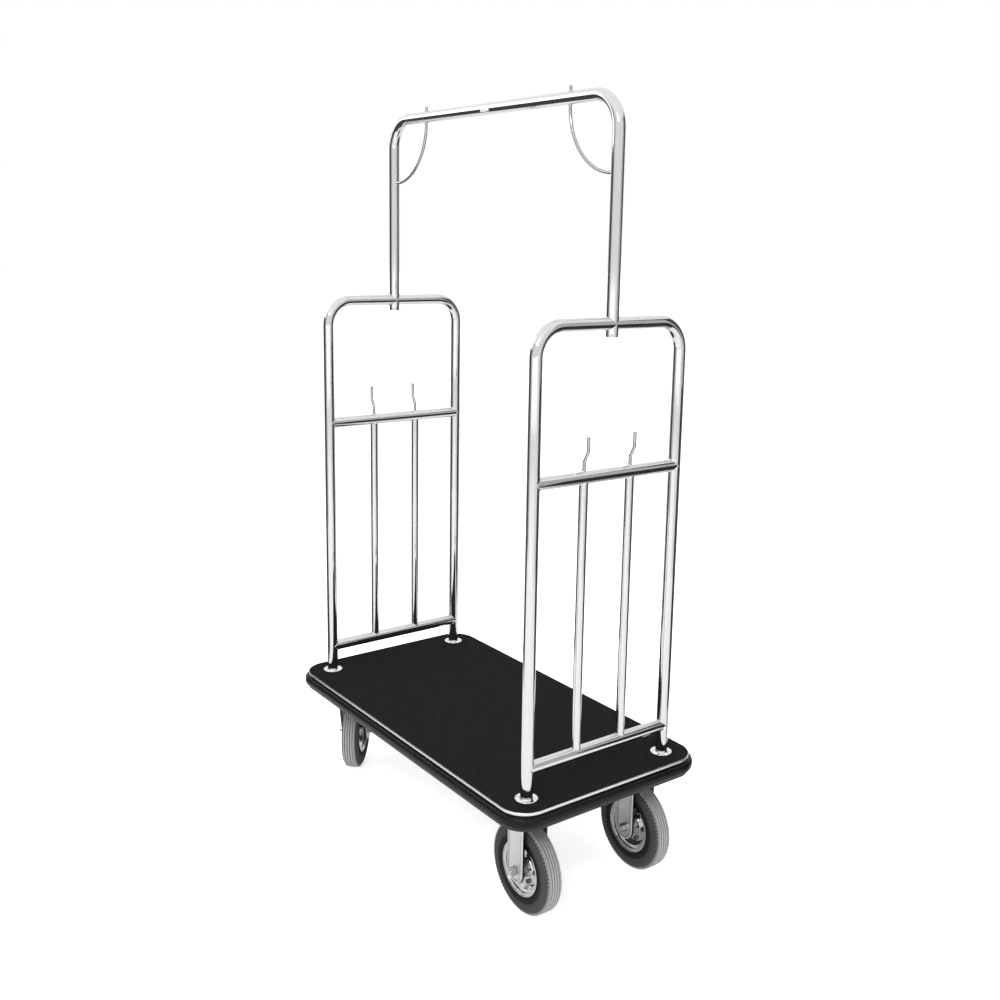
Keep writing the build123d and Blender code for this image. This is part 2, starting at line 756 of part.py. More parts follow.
def caster_bolt():
    """A bolt up through the caster's plate and the corner plate."""
    top = rail_bottom + caster_nut_height + caster_bolt_spare
    return rod(caster_bolt_radius, plate_bottom, top) + hexagon(caster_bolt_flats, plate_bottom - caster_bolt_head,
                                                               plate_bottom)


def caster_nut():
    """The nut of a caster bolt, on the corner plate."""
    return hex_nut(caster_bolt_flats, caster_bolt_radius + screw_gap, rail_bottom, rail_bottom + caster_nut_height)


# ---------------------------------------------------------------- the cart

def make_deck():
    """The deck with its edge, its base frame and their screws."""
    keep("deck_board", deck_board())
    keep("deck_carpet", deck_carpet())
    keep("edge_trim", edge_trim())
    keep("bumper", bumper())
    keep("trim_screws", *placed_trim_screws(0))
    keep("side_rails", side_rail(-1), side_rail(1))
    keep("cross_rails", *[cross_rail(x) for x in (-leg_x, -middle_rail_offset, middle_rail_offset, leg_x)])
    keep("corner_plates", *[corner_plate(x, y) for x in (1, -1) for y in (1, -1)])
    keep("deck_screws", *[deck_screw(x, y) for x, y in side_screw_places()])


def make_frame():
    """The hoops and the arch, with what is welded and bolted to them."""
    ends = (leg_x, -leg_x)
    uprights = (baluster_y, -baluster_y)
    keep("front_hoop", hoop(leg_x))
    keep("rear_hoop", hoop(-leg_x))
    keep("upper_bars", *[cross_bar(x, upper_bar_height) for x in ends])
    keep("lower_bars", *[cross_bar(x, lower_bar_height) for x in ends])
    keep("balusters", *[baluster(x, y) for x in ends for y in uprights])
    keep("coat_hooks", *[coat_hook(side, y) for side in (1, -1) for y in uprights])
    keep("arch_tube", arch())
    keep("hanger_stops", hanger_stop(1), hanger_stop(-1))
    keep("arch_plugs", *[arch_plug(x) for x in ends])
    keep("arch_saddle_caps", *[saddle_cap(x) for x in ends])
    keep("arch_screws", *[arch_screw(x) for x in ends])
    keep("blank_label", blank_label())
    keep("foot_flanges", *[foot_flange(x, y) for x, y in LEG_PLACES])
    keep("leg_plugs", *[leg_plug(x, y) for x, y in LEG_PLACES])
    keep("leg_bolts", *[piece(x, y) for x, y in LEG_PLACES for piece in (leg_bolt, leg_washer)])


def make_casters():
    """The four casters with their wheels: the front pair fixed, the rear pair on swivels."""
    wheel = wheel_pieces()
    spots = [Pos(x + bolt_x, y + bolt_y, 0) for x, y in CASTER_PLACES for bolt_x, bolt_y in CASTER_BOLTS]
    keep("caster_bolts", *[spot * caster_bolt() for spot in spots])
    keep("caster_nuts", *[spot * caster_nut() for spot in spots])

    fronts = {"left": Pos(caster_x, caster_y, 0), "right": Pos(caster_x, -caster_y, 0)}
    hubs = [spot * Pos(0, 0, wheel_radius) for spot in fronts.values()]
    keep("rigid_forks", *[spot * rigid_fork() for spot in fronts.values()])
    keep("front_axles", *[hub * piece for hub in hubs for piece in (axle(), axle_lock_nut())])
    keep("front_axle_spacers", *[hub * axle_spacer(side) for hub in hubs for side in (1, -1)])
    for side, hub in zip(fronts, hubs):
        for name, group in wheel.items():
            keep(f"front_{side}_{name}", *[hub * piece for piece in group])

    pins = [Pos(-caster_x, y, 0) for y in (caster_y, -caster_y)]
    keep("swivel_plates", *[pin * swivel_plate() for pin in pins])
    keep("kingpins", *[pin * kingpin() for pin in pins])
    keep("kingpin_nuts", *[pin * kingpin_lock_nut() for pin in pins])
    keep("swivel_balls", *[pin * ball for pin in pins for ball in race_balls()])
    headings = {"left": swivel_heading_left, "right": swivel_heading_right}
    for (side, heading), pin in zip(headings.items(), pins):
        turned_pin = pin * Rot(0, 0, heading)
        hub = turned_pin * Pos(-swivel_trail, 0, wheel_radius)
        keep(f"rear_{side}_fork", turned_pin * swivel_fork())
        keep(f"rear_{side}_axle", hub * axle(), hub * axle_lock_nut())
        keep(f"rear_{side}_axle_spacers", hub * axle_spacer(1), hub * axle_spacer(-1))
        for name, group in wheel.items():
            keep(f"rear_{side}_{name}", *[hub * piece for piece in group])


make_deck()
make_frame()
make_casters()
os.makedirs("parts", exist_ok=True)
for name, solids in nodes.items():
    export_step(Compound(solids), f"parts/{name}.step")
print(len(nodes), "nodes")
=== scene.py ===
import json
import math

import bmesh
import bpy
import numpy as np
from mathutils import Matrix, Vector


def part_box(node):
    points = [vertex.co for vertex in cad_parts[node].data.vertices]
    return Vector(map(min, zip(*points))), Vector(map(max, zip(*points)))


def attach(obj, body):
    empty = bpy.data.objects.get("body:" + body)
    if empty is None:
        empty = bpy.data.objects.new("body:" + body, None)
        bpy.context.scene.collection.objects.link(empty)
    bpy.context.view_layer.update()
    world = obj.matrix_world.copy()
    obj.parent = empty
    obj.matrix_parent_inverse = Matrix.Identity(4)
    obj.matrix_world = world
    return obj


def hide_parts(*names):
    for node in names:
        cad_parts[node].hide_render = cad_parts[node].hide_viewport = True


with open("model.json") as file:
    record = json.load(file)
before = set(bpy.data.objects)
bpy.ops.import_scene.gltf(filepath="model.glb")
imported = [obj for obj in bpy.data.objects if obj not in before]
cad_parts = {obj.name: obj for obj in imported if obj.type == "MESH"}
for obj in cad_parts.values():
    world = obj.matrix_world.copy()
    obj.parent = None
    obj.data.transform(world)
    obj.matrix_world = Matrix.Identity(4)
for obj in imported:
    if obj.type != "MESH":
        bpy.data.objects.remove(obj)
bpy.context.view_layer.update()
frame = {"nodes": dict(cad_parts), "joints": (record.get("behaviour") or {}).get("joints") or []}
NODES = frame["nodes"]
JOINTS = {joint["name"]: joint for joint in frame["joints"]}
MM = 0.001
X, Y, Z = np.eye(3)
ENDS = (1, -1)
SIDES = (1, -1)


# ---------------------------------------------------------------- places, read from the CAD

def low(node):
    """A CAD node's lowest corner."""
    return np.array(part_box(node)[0])


def high(node):
    """A CAD node's highest corner."""
    return np.array(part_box(node)[1])


TUBE = (high("front_hoop")[0] - low("front_hoop")[0]) / 2
LEG_X = high("front_hoop")[0] - TUBE
LEG_Y = high("front_hoop")[1] - TUBE
LEG_FOOT = low("front_hoop")[2]
HOOP_Z = high("front_hoop")[2] - TUBE
ARCH_Z = high("arch_tube")[2] - TUBE
UPPER_Z = high("upper_bars")[2] - TUBE
LOWER_Z = high("lower_bars")[2] - TUBE
POST = (high("balusters")[0] - low("balusters")[0]) / 2 - LEG_X
POST_Y = high("balusters")[1] - POST
ROD = high("hanger_stops")[1]
STOP_TIP = high("hanger_stops")[2]
HOOK_TIP = high("coat_hooks")[2]
HOOK_X = high("coat_hooks")[0] - ROD
DECK_TOP = high("deck_carpet")[2]
BOARD_TOP = high("deck_board")[2]
HALF_LENGTH = high("deck_board")[0]
HALF_WIDTH = high("deck_board")[1]
TRIM_OUT = high("edge_trim")[0] - HALF_LENGTH
TRIM_TOP = high("edge_trim")[2]
TRIM_FOOT = low("edge_trim")[2]
STRIP_FOOT = high("bumper")[2]
BUMPER_OUT = high("bumper")[0] - HALF_LENGTH
BUMPER_FOOT = low("bumper")[2]
CAP_FOOT = low("arch_saddle_caps")[2]
FLANGE = high("foot_flanges")[0] - LEG_X
FLANGE_TOP = high("foot_flanges")[2]
PLATE_TOP = high("rigid_forks")[2]

# Sizes that the frame doesn't state
SEAM = 2e-6  # points nearer than this become one
HOOP_BEND = 68 * MM
ARCH_BEND = 78 * MM
HOOK_BEND = 10 * MM
HOOK_RISE = 21 * MM
HOOK_SLOPE = 24 * MM
STOP_BEND = 154 * MM
BOARD_CORNER = 62 * MM
WEB = 2 * MM
LIP_TOP = TRIM_FOOT + 7 * MM
CROWN_WALL = 3 * MM
PLATE_WALL = 4 * MM
FORK_END = 30 * MM
FORK_FLANGE = 8 * MM
FORK_WALL = 3 * MM
FORK_OUT = 38 * MM
KINGPIN_BORE = 6.05 * MM


# ---------------------------------------------------------------- mesh work

def unit(vectors):
    """Vectors of length one."""
    vectors = np.asarray(vectors, float)
    return vectors / np.linalg.norm(vectors, axis=-1, keepdims=True)


def grid_faces(rows, columns, close_rows, close_columns):
    """Quads between neighbouring points of a grid, which may wrap round either way."""
    row = np.arange(rows if close_rows else rows - 1)[:, None]
    column = np.arange(columns if close_columns else columns - 1)[None, :]
    next_row = (row + 1) % rows
    next_column = (column + 1) % columns
    corners = (row * columns + column, next_row * columns + column,
               next_row * columns + next_column, row * columns + next_column)
    return np.stack(np.broadcast_arrays(*corners), -1).reshape(-1, 4)


class Shell:
    """The grids and flat caps that make up one piece."""

    def __init__(self):
        self.points = []
        self.faces = []
        self.zones = []
        self.count = 0

    def grid(self, points, close_rows=False, close_columns=False, zone=None):
        """Adds a grid of points, rows by columns by 3, with an optional value for each point."""
        rows, columns = points.shape[:2]
        quads = grid_faces(rows, columns, close_rows, close_columns) + self.count
        self.faces += quads.tolist()
        self.points.append(points.reshape(-1, 3))
        values = np.zeros((rows, columns)) if zone is None else np.broadcast_to(zone, (rows, columns))
        self.zones.append(values.reshape(-1))
        self.count += rows * columns
        return self

    def cap(self, loop):
        """Adds one flat face round a loop of points."""
        self.faces.append(list(range(self.count, self.count + len(loop))))
        self.points.append(np.asarray(loop, float))
        self.zones.append(np.zeros(len(loop)))
        self.count += len(loop)
        return self


def make(name, shell, finish, body, replaced=(), crease=40.0):
    """Turns a shell into a piece: seams merged, normals outward, smooth but for creases above an angle."""
    mesh = bpy.data.meshes.new(name)
    mesh.from_pydata(np.concatenate(shell.points).tolist(), [], shell.faces)
    zone = mesh.attributes.new("zone", "FLOAT", "POINT")
    zone.data.foreach_set("value", np.concatenate(shell.zones).astype(np.float32))
    work = bmesh.new()
    work.from_mesh(mesh)
    bmesh.ops.remove_doubles(work, verts=work.verts, dist=SEAM)
    bmesh.ops.dissolve_degenerate(work, edges=work.edges, dist=SEAM / 10)
    bmesh.ops.recalc_face_normals(work, faces=work.faces)
    work.to_mesh(mesh)
    work.free()
    mesh.shade_smooth()
    mesh.set_sharp_from_angle(angle=math.radians(crease))
    mesh.materials.append(finish)
    piece = bpy.data.objects.new(name, mesh)
    bpy.context.scene.collection.objects.link(piece)
    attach(piece, body)
    if replaced:
        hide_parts(*replaced)


def bent_line(corners, bend, steps):
    """Points and headings along straight runs joined by arcs of one radius that touch both runs.

    At a corner the line turns by an angle t, so an arc starts the radius times tan(t / 2) before it."""
    corners = np.asarray(corners, float)
    points = [corners[:1]]
    headings = [unit(corners[1:2] - corners[:1])]
    for before, corner, after in zip(corners, corners[1:], corners[2:]):
        into = unit(corner - before)
        out = unit(after - corner)
        turn = math.acos(np.clip(into @ out, -1, 1))
        inward = unit(out - into * (into @ out))
        start = corner - into * bend * math.tan(turn / 2)
        angle = np.linspace(0, turn, steps)[:, None]
        points.append(start + bend * (np.sin(angle) * into + (1 - np.cos(angle)) * inward))
        headings.append(np.cos(angle) * into + np.sin(angle) * inward)
    points.append(corners[-1:])
    headings.append(unit(corners[-1:] - corners[-2:-1]))
    return np.concatenate(points), np.concatenate(headings)


def round_bar(points, headings, side, radii, segments):
    """Rings round a flat line: the centre plus the radius times a turn from side to the third axis."""
    turn = np.linspace(0, 2 * math.pi, segments, endpoint=False)[None, :, None]
    third = np.cross(headings, side)[:, None]
    radii = np.broadcast_to(radii, len(points))[:, None, None]
    return points[:, None] + radii * (np.cos(turn) * side + np.sin(turn) * third)


def closed_bar(points, headings, side, radius, segments, round_start=0.0, round_end=0.0):
    """A round bar whose ends are closed, with an edge rounded to a radius where one is given."""
    quarter = np.linspace(0, math.pi / 2, 6)

    def end(point, heading, rounding):
        """One end's points and radii: its middle, then a rim whose edge is a quarter circle."""
        if rounding == 0:
            return point[None], np.zeros(1)
        along = (1 - np.sin(quarter))[::-1] * rounding
        rim = radius - rounding * (1 - np.cos(quarter))[::-1]
        return np.concatenate([point[None], point - heading * along[:, None]]), np.concatenate([[0], rim])

    first, first_radii = end(points[0], -headings[0], round_start)
    last, last_radii = end(points[-1], headings[-1], round_end)
    middle_points, middle_headings = points, headings
    if round_start:
        middle_points, middle_headings = middle_points[1:], middle_headings[1:]
    if round_end:
        middle_points, middle_headings = middle_points[:-1], middle_headings[:-1]
    all_points = np.concatenate([first, middle_points, last[::-1]])
    all_headings = np.concatenate([np.repeat(headings[:1], len(first), 0), middle_headings,
                                   np.repeat(headings[-1:], len(last), 0)])
    radii = np.concatenate([first_radii, np.full(len(middle_points), radius), last_radii[::-1]])
    return round_bar(all_points, all_headings, side, radii, segments)


def saddle(base, along, out, post, bar, segments=48):
    """Where a round post meets a round bar that crosses it.

    Going round the post by an angle t, the curve lies post * cos(t) across the bar and post * sin(t) along
    it, and stands sqrt(bar^2 - (post * cos(t))^2) out from the bar's middle."""
    turn = np.linspace(0, 2 * math.pi, segments, endpoint=False)[:, None]
    across = np.cross(along, out)
    height = np.sqrt(np.maximum(bar ** 2 - (post * np.cos(turn)) ** 2, 0))
    outward = np.cos(turn) * across + np.sin(turn) * along
    return base + post * outward + height * out, outward


def weld_bead(base, along, out, post, bar, size):
    """A small round bead laid along the curve where a post meets a bar."""
    curve, outward = saddle(base, along, out, post, bar)
    heading = unit(np.roll(curve, -1, 0) - np.roll(curve, 1, 0))
    third = np.cross(heading, outward)
    turn = np.linspace(0, 2 * math.pi, 8, endpoint=False)[None, :, None]
    return curve[:, None] + size * (np.cos(turn) * outward[:, None] + np.sin(turn) * third[:, None])


def coped_post(start, end, along, post, bar):
    """A post between two parallel bars, shaped at each end to the bar that it meets, with closed ends."""
    out = unit(end - start)
    across = np.cross(along, out)
    first, _ = saddle(start, along, out, post, bar)
    turn = np.linspace(0, 2 * math.pi, len(first), endpoint=False)[:, None]
    height = np.sqrt(np.maximum(bar ** 2 - (post * np.cos(turn)) ** 2, 0))
    last = end + post * (np.cos(turn) * across + np.sin(turn) * along) - height * out
    start_middle = np.repeat((start + out * bar)[None], len(first), 0)
    end_middle = np.repeat((end - out * bar)[None], len(first), 0)
    return np.stack([start_middle, first, last, end_middle])


def spun(centre, axle, profile, steps):
    """A profile of (radius, place along the axle) spun round the axle."""
    axle = unit(axle)
    first = unit(np.cross(axle, Z) if abs(axle[2]) < 0.9 else X)
    second = np.cross(axle, first)
    turn = np.linspace(0, 2 * math.pi, steps, endpoint=False)[:, None, None]
    profile = np.asarray(profile, float)
    if profile.ndim == 2:
        profile = profile[None]
    return (centre + profile[..., 1:] * axle
            + profile[..., :1] * (np.cos(turn) * first + np.sin(turn) * second))


def sheet_section(corners, bend, wall):
    """The closed outline of a bent sheet: its middle line, rounded, moved half a wall each way."""
    flat = np.column_stack([corners, np.zeros(len(corners))])
    points, headings = bent_line(flat, bend, steps=7)
    sideways = np.column_stack([-headings[:, 1], headings[:, 0]]) * wall / 2
    return np.concatenate([points[:, :2] + sideways, (points[:, :2] - sideways)[::-1]])


def rounded_outline(half_x, half_y, corner, steps):
    """Points round a rectangle with round corners, and the outward direction at each."""
    quarter = np.linspace(0, math.pi / 2, steps)
    turn = np.concatenate([quarter + i * math.pi / 2 for i in range(4)])
    outward = np.column_stack([np.cos(turn), np.sin(turn)])
    middle = np.repeat([[1, 1], [-1, 1], [-1, -1], [1, -1]], steps, 0) * [half_x - corner, half_y - corner]
    return middle + outward * corner, outward


def board_band(profile, steps=22):
    """A section of (distance out from the board, height) carried round the board's outline."""
    line, outward = rounded_outline(HALF_LENGTH, HALF_WIDTH, BOARD_CORNER, steps)
    profile = np.asarray(profile, float)
    flat = line[:, None] + outward[:, None] * profile[None, :, :1]
    return np.concatenate([flat, np.broadcast_to(profile[None, :, 1:], flat.shape[:2] + (1,))], -1)


def round_plate(half_x, half_y, corner, bottom, top, edge=0.6 * MM):
    """A flat plate with round corners and slightly rounded edges, centred on the Z axis."""
    line, outward = rounded_outline(half_x, half_y, corner, 8)
    quarter = np.linspace(0, math.pi / 2, 4)
    rise = edge * np.sin(quarter)
    inset = edge * (1 - np.cos(quarter))
    insets = np.concatenate([inset[::-1], inset])
    heights = np.concatenate([bottom + edge - rise[::-1], top - edge + rise])
    wall = line[:, None] - outward[:, None] * insets[None, :, None]
    rings = np.concatenate([wall, np.broadcast_to(heights[None, :, None], wall.shape[:2] + (1,))], -1)
    foot = np.broadcast_to([0, 0, bottom], (len(line), 1, 3))
    head = np.broadcast_to([0, 0, top], (len(line), 1, 3))
    return np.concatenate([foot, rings, head], 1)


# ---------------------------------------------------------------- materials

class Wire:
    """A value in a material. Arithmetic on it adds Math nodes."""

    def __init__(self, finish, socket):
        self.finish = finish
        self.socket = socket

    def math(self, operation, first, second):
        """A Math node on two values."""
        return self.finish.add("ShaderNodeMath", {"operation": operation}, {0: first, 1: second})

    def __add__(self, other):
        return self.math("ADD", self, other)

    __radd__ = __add__

    def __sub__(self, other):
        return self.math("SUBTRACT", self, other)

    def __rsub__(self, other):
        return self.math("SUBTRACT", other, self)

    def __mul__(self, other):
        return self.math("MULTIPLY", self, other)

    __rmul__ = __mul__


class Finish:
    """One procedural material, laid out in the object's own coordinates."""

    def __init__(self, name):
        self.material = bpy.data.materials.new(name)
        self.material.use_nodes = True
        self.nodes = self.material.node_tree.nodes
        self.links = self.material.node_tree.links
        self.nodes.clear()
        self.place = self.add("ShaderNodeTexCoord", out="Object")

    def add(self, kind, settings=None, values=None, out=0):
        """Adds a node: its settings first, then the numbers or links of its sockets."""
        node = self.nodes.new(kind)
        for key, value in (settings or {}).items():
            if key == "stops":
                self.set_stops(node.color_ramp, value)
            else:
                setattr(node, key, value)
        for key, value in (values or {}).items():
            if isinstance(value, Wire):
                self.links.new(value.socket, node.inputs[key])
            else:
                node.inputs[key].default_value = value
        return Wire(self, node.outputs[out])

    @staticmethod
    def set_stops(ramp, stops):
        """Sets a ramp's stops from (place, grey) or (place, colour) pairs."""
        while len(ramp.elements) < len(stops):
            ramp.elements.new(1)
        for element, (place, colour) in zip(ramp.elements, stops):
            element.position = place
            element.color = (colour,) * 3 + (1,) if isinstance(colour, (int, float)) else tuple(colour) + (1,)

    def noise(self, scale, detail, rough=0.55, place=None):
        """Fractal noise from 0 to 1, at so many blotches a metre."""
        values = {"Vector": place or self.place, "Scale": scale, "Detail": detail, "Roughness": rough}
        return self.add("ShaderNodeTexNoise", None, values)

    def cells(self, scale):
        """The distance to the nearest of scattered points."""
        return self.add("ShaderNodeTexVoronoi", None, {"Vector": self.place, "Scale": scale})

    def stretched(self, factors):
        """The coordinates multiplied along each axis."""
        return self.add("ShaderNodeMapping", None, {"Vector": self.place, "Scale": factors})

    def ramp(self, value, *stops):
        """A value turned into greys or colours by a ramp."""
        return self.add("ShaderNodeValToRGB", {"stops": stops}, {"Fac": value})

    def mix(self, factor, first, second):
        """Two colours mixed by a factor."""
        first, second = [c if isinstance(c, Wire) else tuple(c) + (1,) for c in (first, second)]
        return self.add("ShaderNodeMix", {"data_type": "RGBA"}, {0: factor, 6: first, 7: second}, out=2)

    def bump(self, height, depth, strength, below=None):
        """A bump of a depth in metres, over another one where that is given."""
        values = {"Height": height, "Distance": depth, "Strength": strength}
        if below:
            values["Normal"] = below
        return self.add("ShaderNodeBump", None, values)

    def done(self, **values):
        """Ends the material with a Principled shader, whose sockets are named with underscores for spaces."""
        sockets = {key.replace("_", " "): value for key, value in values.items()}
        shader = self.add("ShaderNodeBsdfPrincipled", None, sockets)
        output = self.nodes.new("ShaderNodeOutputMaterial")
        self.links.new(shader.socket, output.inputs["Surface"])
        return self.material


def polished(name, tint, smooth, rough, wave=0.00004):
    """Bright plated steel: faint smudges, hairline polishing marks and a slightly wavy surface."""
    f = Finish(name)
    smudge = f.ramp(f.noise(7, 5, 0.6), (0.35, 0.0), (0.7, 1.0))
    hairline = f.noise(1400, 2, 0.5, f.stretched((1.0, 1.0, 0.03)))
    roughness = smooth + smudge * (rough - smooth) + hairline * 0.02
    shade = f.mix(smudge * 0.5, tint, [c * 0.93 for c in tint])
    waves = f.bump(f.noise(22, 2), wave, 1.0)
    normal = f.bump(hairline, 0.000004, 0.35, waves)
    return f.done(Base_Color=shade, Metallic=1.0, Roughness=roughness, Normal=normal)


def weld_finish():
    """Brushed-back weld beads: rippled and a little dull."""
    f = Finish("weld")
    ripple = f.noise(900, 2)
    shade = f.mix(f.noise(60, 3), (0.62, 0.62, 0.62), (0.78, 0.78, 0.79))
    return f.done(Base_Color=shade, Metallic=1.0, Roughness=0.16 + ripple * 0.16,
                  Normal=f.bump(ripple, 0.00012, 0.6))


def carpet_finish():
    """Black needle-punched carpet: matted fibres, tufts and a few paler flecks."""
    f = Finish("carpet")
    fibre = f.noise(1500, 4, 0.7)
    tuft = f.cells(420)
    wide = f.noise(26, 4, 0.6)
    fleck = f.ramp(f.noise(330, 2), (0.56, 0.0), (0.7, 1.0))
    base = f.mix(wide, (0.0045, 0.0045, 0.005), (0.009, 0.009, 0.01))
    base = f.mix(tuft * 0.7, (0.014, 0.014, 0.0155), base)
    base = f.mix(fleck * 0.5, base, (0.036, 0.036, 0.04))
    height = fibre * 0.6 + tuft * 0.9 + wide * 0.5
    return f.done(Base_Color=base, Roughness=0.93 + fibre * 0.05, Specular_IOR_Level=0.04,
                  Normal=f.bump(height, 0.0011, 0.9))


def vinyl_finish():
    """Black vinyl of the bumper: fine pebble grain, scuffs and a soft gloss."""
    f = Finish("bumper_vinyl")
    pebble = f.cells(750)
    scuff = f.ramp(f.noise(34, 6, 0.7), (0.52, 0.0), (0.72, 1.0))
    streak = f.noise(300, 2, 0.5, f.stretched((0.06, 0.06, 1.0)))
    base = f.mix(scuff * 0.6, (0.003, 0.003, 0.0035), (0.01, 0.01, 0.011))
    roughness = 0.3 + scuff * 0.2 + streak * 0.1
    return f.done(Base_Color=base, Roughness=roughness, Specular_IOR_Level=0.18,
                  Normal=f.bump(pebble * 0.6 + streak * 0.4, 0.00012, 0.7))


def edge_metal_finish():
    """Bright extruded aluminium: drawn lines, small nicks, and painted shade on the lip where zone is 1."""
    f = Finish("edge_metal")
    painted_lip_shade = f.add("ShaderNodeAttribute", {"attribute_name": "zone"}, out="Fac")
    drawn = f.noise(2600, 2, 0.5, f.stretched((0.004, 0.004, 1.0)))
    nick = f.ramp(f.noise(240, 3), (0.68, 0.0), (0.74, 1.0))
    base = f.mix(drawn * 0.5, (0.74, 0.745, 0.75), (0.62, 0.625, 0.63))
    base = f.mix(nick * 0.4, base, (0.55, 0.55, 0.56))
    # Painted shade under the bumper: the lip, where zone is 1, goes almost black.
    base = f.mix(painted_lip_shade * 0.97, base, (0.03, 0.03, 0.03))
    return f.done(Base_Color=base, Metallic=1.0, Roughness=0.2 + drawn * 0.12 + nick * 0.15,
                  Normal=f.bump(drawn, 0.00003, 0.5))


def rubber_finish():
    """Grey rubber: black at the bead, mid grey on the side and pale on the tread, partly from dust and wear
    and partly painted light where the tread faces the lamps.
    """
    f = Finish("tyre_rubber")
    zone = f.add("ShaderNodeAttribute", {"attribute_name": "zone"}, out="Fac")
    dust = f.noise(60, 5, 0.65)
    grain = f.noise(1300, 3)
    tone = zone + (dust - 0.5) * 0.12
    # The top of the ramp is the pale tread: worn, dusty rubber and partly painted light.
    base = f.ramp(tone, (0.0, (0.003, 0.003, 0.0035)), (0.22, (0.005, 0.005, 0.0055)),
                  (0.36, (0.024, 0.024, 0.026)), (0.62, (0.052, 0.052, 0.054)), (0.8, (0.22, 0.22, 0.218)),
                  (1.0, (0.33, 0.33, 0.327)))
    base = f.mix(grain * 0.12, base, (0.17, 0.17, 0.17))
    return f.done(Base_Color=base, Roughness=0.62 + dust * 0.25, Specular_IOR_Level=0.1,
                  Normal=f.bump(grain * 0.4 + dust * 0.6, 0.00025, 0.6))


def zinc_finish(name, dark, light, roughness):
    """Zinc plated steel: cloudy spangle, drawn lines, dull rub marks and painted shade where zone is 1."""
    f = Finish(name)
    painted_shade = f.add("ShaderNodeAttribute", {"attribute_name": "zone"}, out="Fac")
    cloud = f.noise(70, 5, 0.65)
    spangle = f.cells(160)
    rub = f.ramp(f.noise(18, 4), (0.55, 0.0), (0.7, 1.0))
    base = f.mix(cloud, dark, light)
    base = f.mix(spangle * 0.25, base, dark)
    # Painted shade: towards black where the zone is high, inside the fork legs and along their press line.
    base = f.mix(painted_shade * 0.96, base, (0.01, 0.01, 0.01))
    grain = f.noise(700, 2, 0.5, f.stretched((1.0, 1.0, 0.15)))
    return f.done(Base_Color=base, Metallic=1.0, Roughness=roughness + cloud * 0.12 + rub * 0.1,
                  Normal=f.bump(grain * 0.5 + spangle * 0.5, 0.00005, 0.5))


def powder_finish():
    """Black powder coat with an orange-peel surface."""
    f = Finish("powder_coat")
    peel = f.noise(420, 3)
    dust = f.ramp(f.noise(9, 5), (0.45, 0.0), (0.8, 1.0))
    base = f.mix(dust * 0.5, (0.016, 0.016, 0.017), (0.05, 0.049, 0.047))
    return f.done(Base_Color=base, Roughness=0.42 + dust * 0.25, Normal=f.bump(peel, 0.00015, 0.5))


def plywood_finish():
    """Plywood faced with a dark brown film, through which the long grain and its pores show."""
    f = Finish("plywood")
    grain = f.noise(34, 6, 0.6, f.stretched((0.12, 1.0, 6.0)))
    pore = f.ramp(f.noise(420, 2, 0.5, f.stretched((0.05, 1.0, 1.0))), (0.6, 0.0), (0.7, 1.0))
    base = f.ramp(grain, (0.3, (0.016, 0.013, 0.011)), (0.5, (0.026, 0.021, 0.017)),
                  (0.72, (0.04, 0.032, 0.026)))
    base = f.mix(pore * 0.5, base, (0.01, 0.008, 0.007))
    return f.done(Base_Color=base, Roughness=0.55 + grain * 0.2,
                  Normal=f.bump(grain * 0.5 - pore * 0.5, 0.0002, 0.5))


def foil_finish():
    """The blank label's matt foil, a little creased."""
    f = Finish("label_foil")
    crease = f.noise(160, 4)
    base = f.mix(crease, (0.78, 0.79, 0.8), (0.9, 0.9, 0.9))
    return f.done(Base_Color=base, Metallic=0.55, Roughness=0.42 + crease * 0.15,
                  Normal=f.bump(crease, 0.00008, 0.6))


def floor_finish():
    """The plain pale studio floor, which glows a little so that it stays white in the cart's shadow."""
    f = Finish("floor")
    tone = f.mix(f.noise(2, 2), (0.88, 0.88, 0.88), (0.9, 0.9, 0.9))
    return f.done(Base_Color=tone, Roughness=0.9, Specular_IOR_Level=0.0, Emission_Color=tone,
                  Emission_Strength=0.7)


def flag_finish(name, tone):
    """A grey card that shapes the reflections."""
    f = Finish(name)
    shade = f.mix(f.noise(2, 1), (tone,) * 3, (tone * 1.2,) * 3)
    return f.done(Base_Color=shade, Roughness=1.0, Specular_IOR_Level=0.0)


CHROME = polished("chrome_tube", (0.66, 0.665, 0.67), 0.04, 0.1)
ROD_CHROME = polished("chrome_rod", (0.46, 0.465, 0.47), 0.08, 0.16)
FLANGE_CHROME = polished("flange_chrome", (0.8, 0.805, 0.81), 0.04, 0.08, 0.00001)
HUB_CHROME = polished("hub_chrome", (0.85, 0.855, 0.86), 0.16, 0.26)
RIM_STEEL = polished("rim_steel", (0.64, 0.645, 0.65), 0.12, 0.22, 0.0001)
WELD = weld_finish()
CARPET = carpet_finish()
VINYL = vinyl_finish()
EDGE_METAL = edge_metal_finish()
RUBBER = rubber_finish()
CASTER_ZINC = zinc_finish("caster_zinc", (0.5, 0.505, 0.51), (0.72, 0.725, 0.73), 0.24)
FASTENER_ZINC = zinc_finish("zinc_fasteners", (0.42, 0.43, 0.43), (0.64, 0.64, 0.63), 0.26)
DARK_ZINC = zinc_finish("rim_bolt_dark", (0.1, 0.1, 0.105), (0.2, 0.2, 0.2), 0.35)
BEARING = zinc_finish("bearing_steel", (0.34, 0.34, 0.35), (0.5, 0.5, 0.5), 0.24)
POWDER = powder_finish()
PLYWOOD = plywood_finish()
FOIL = foil_finish()

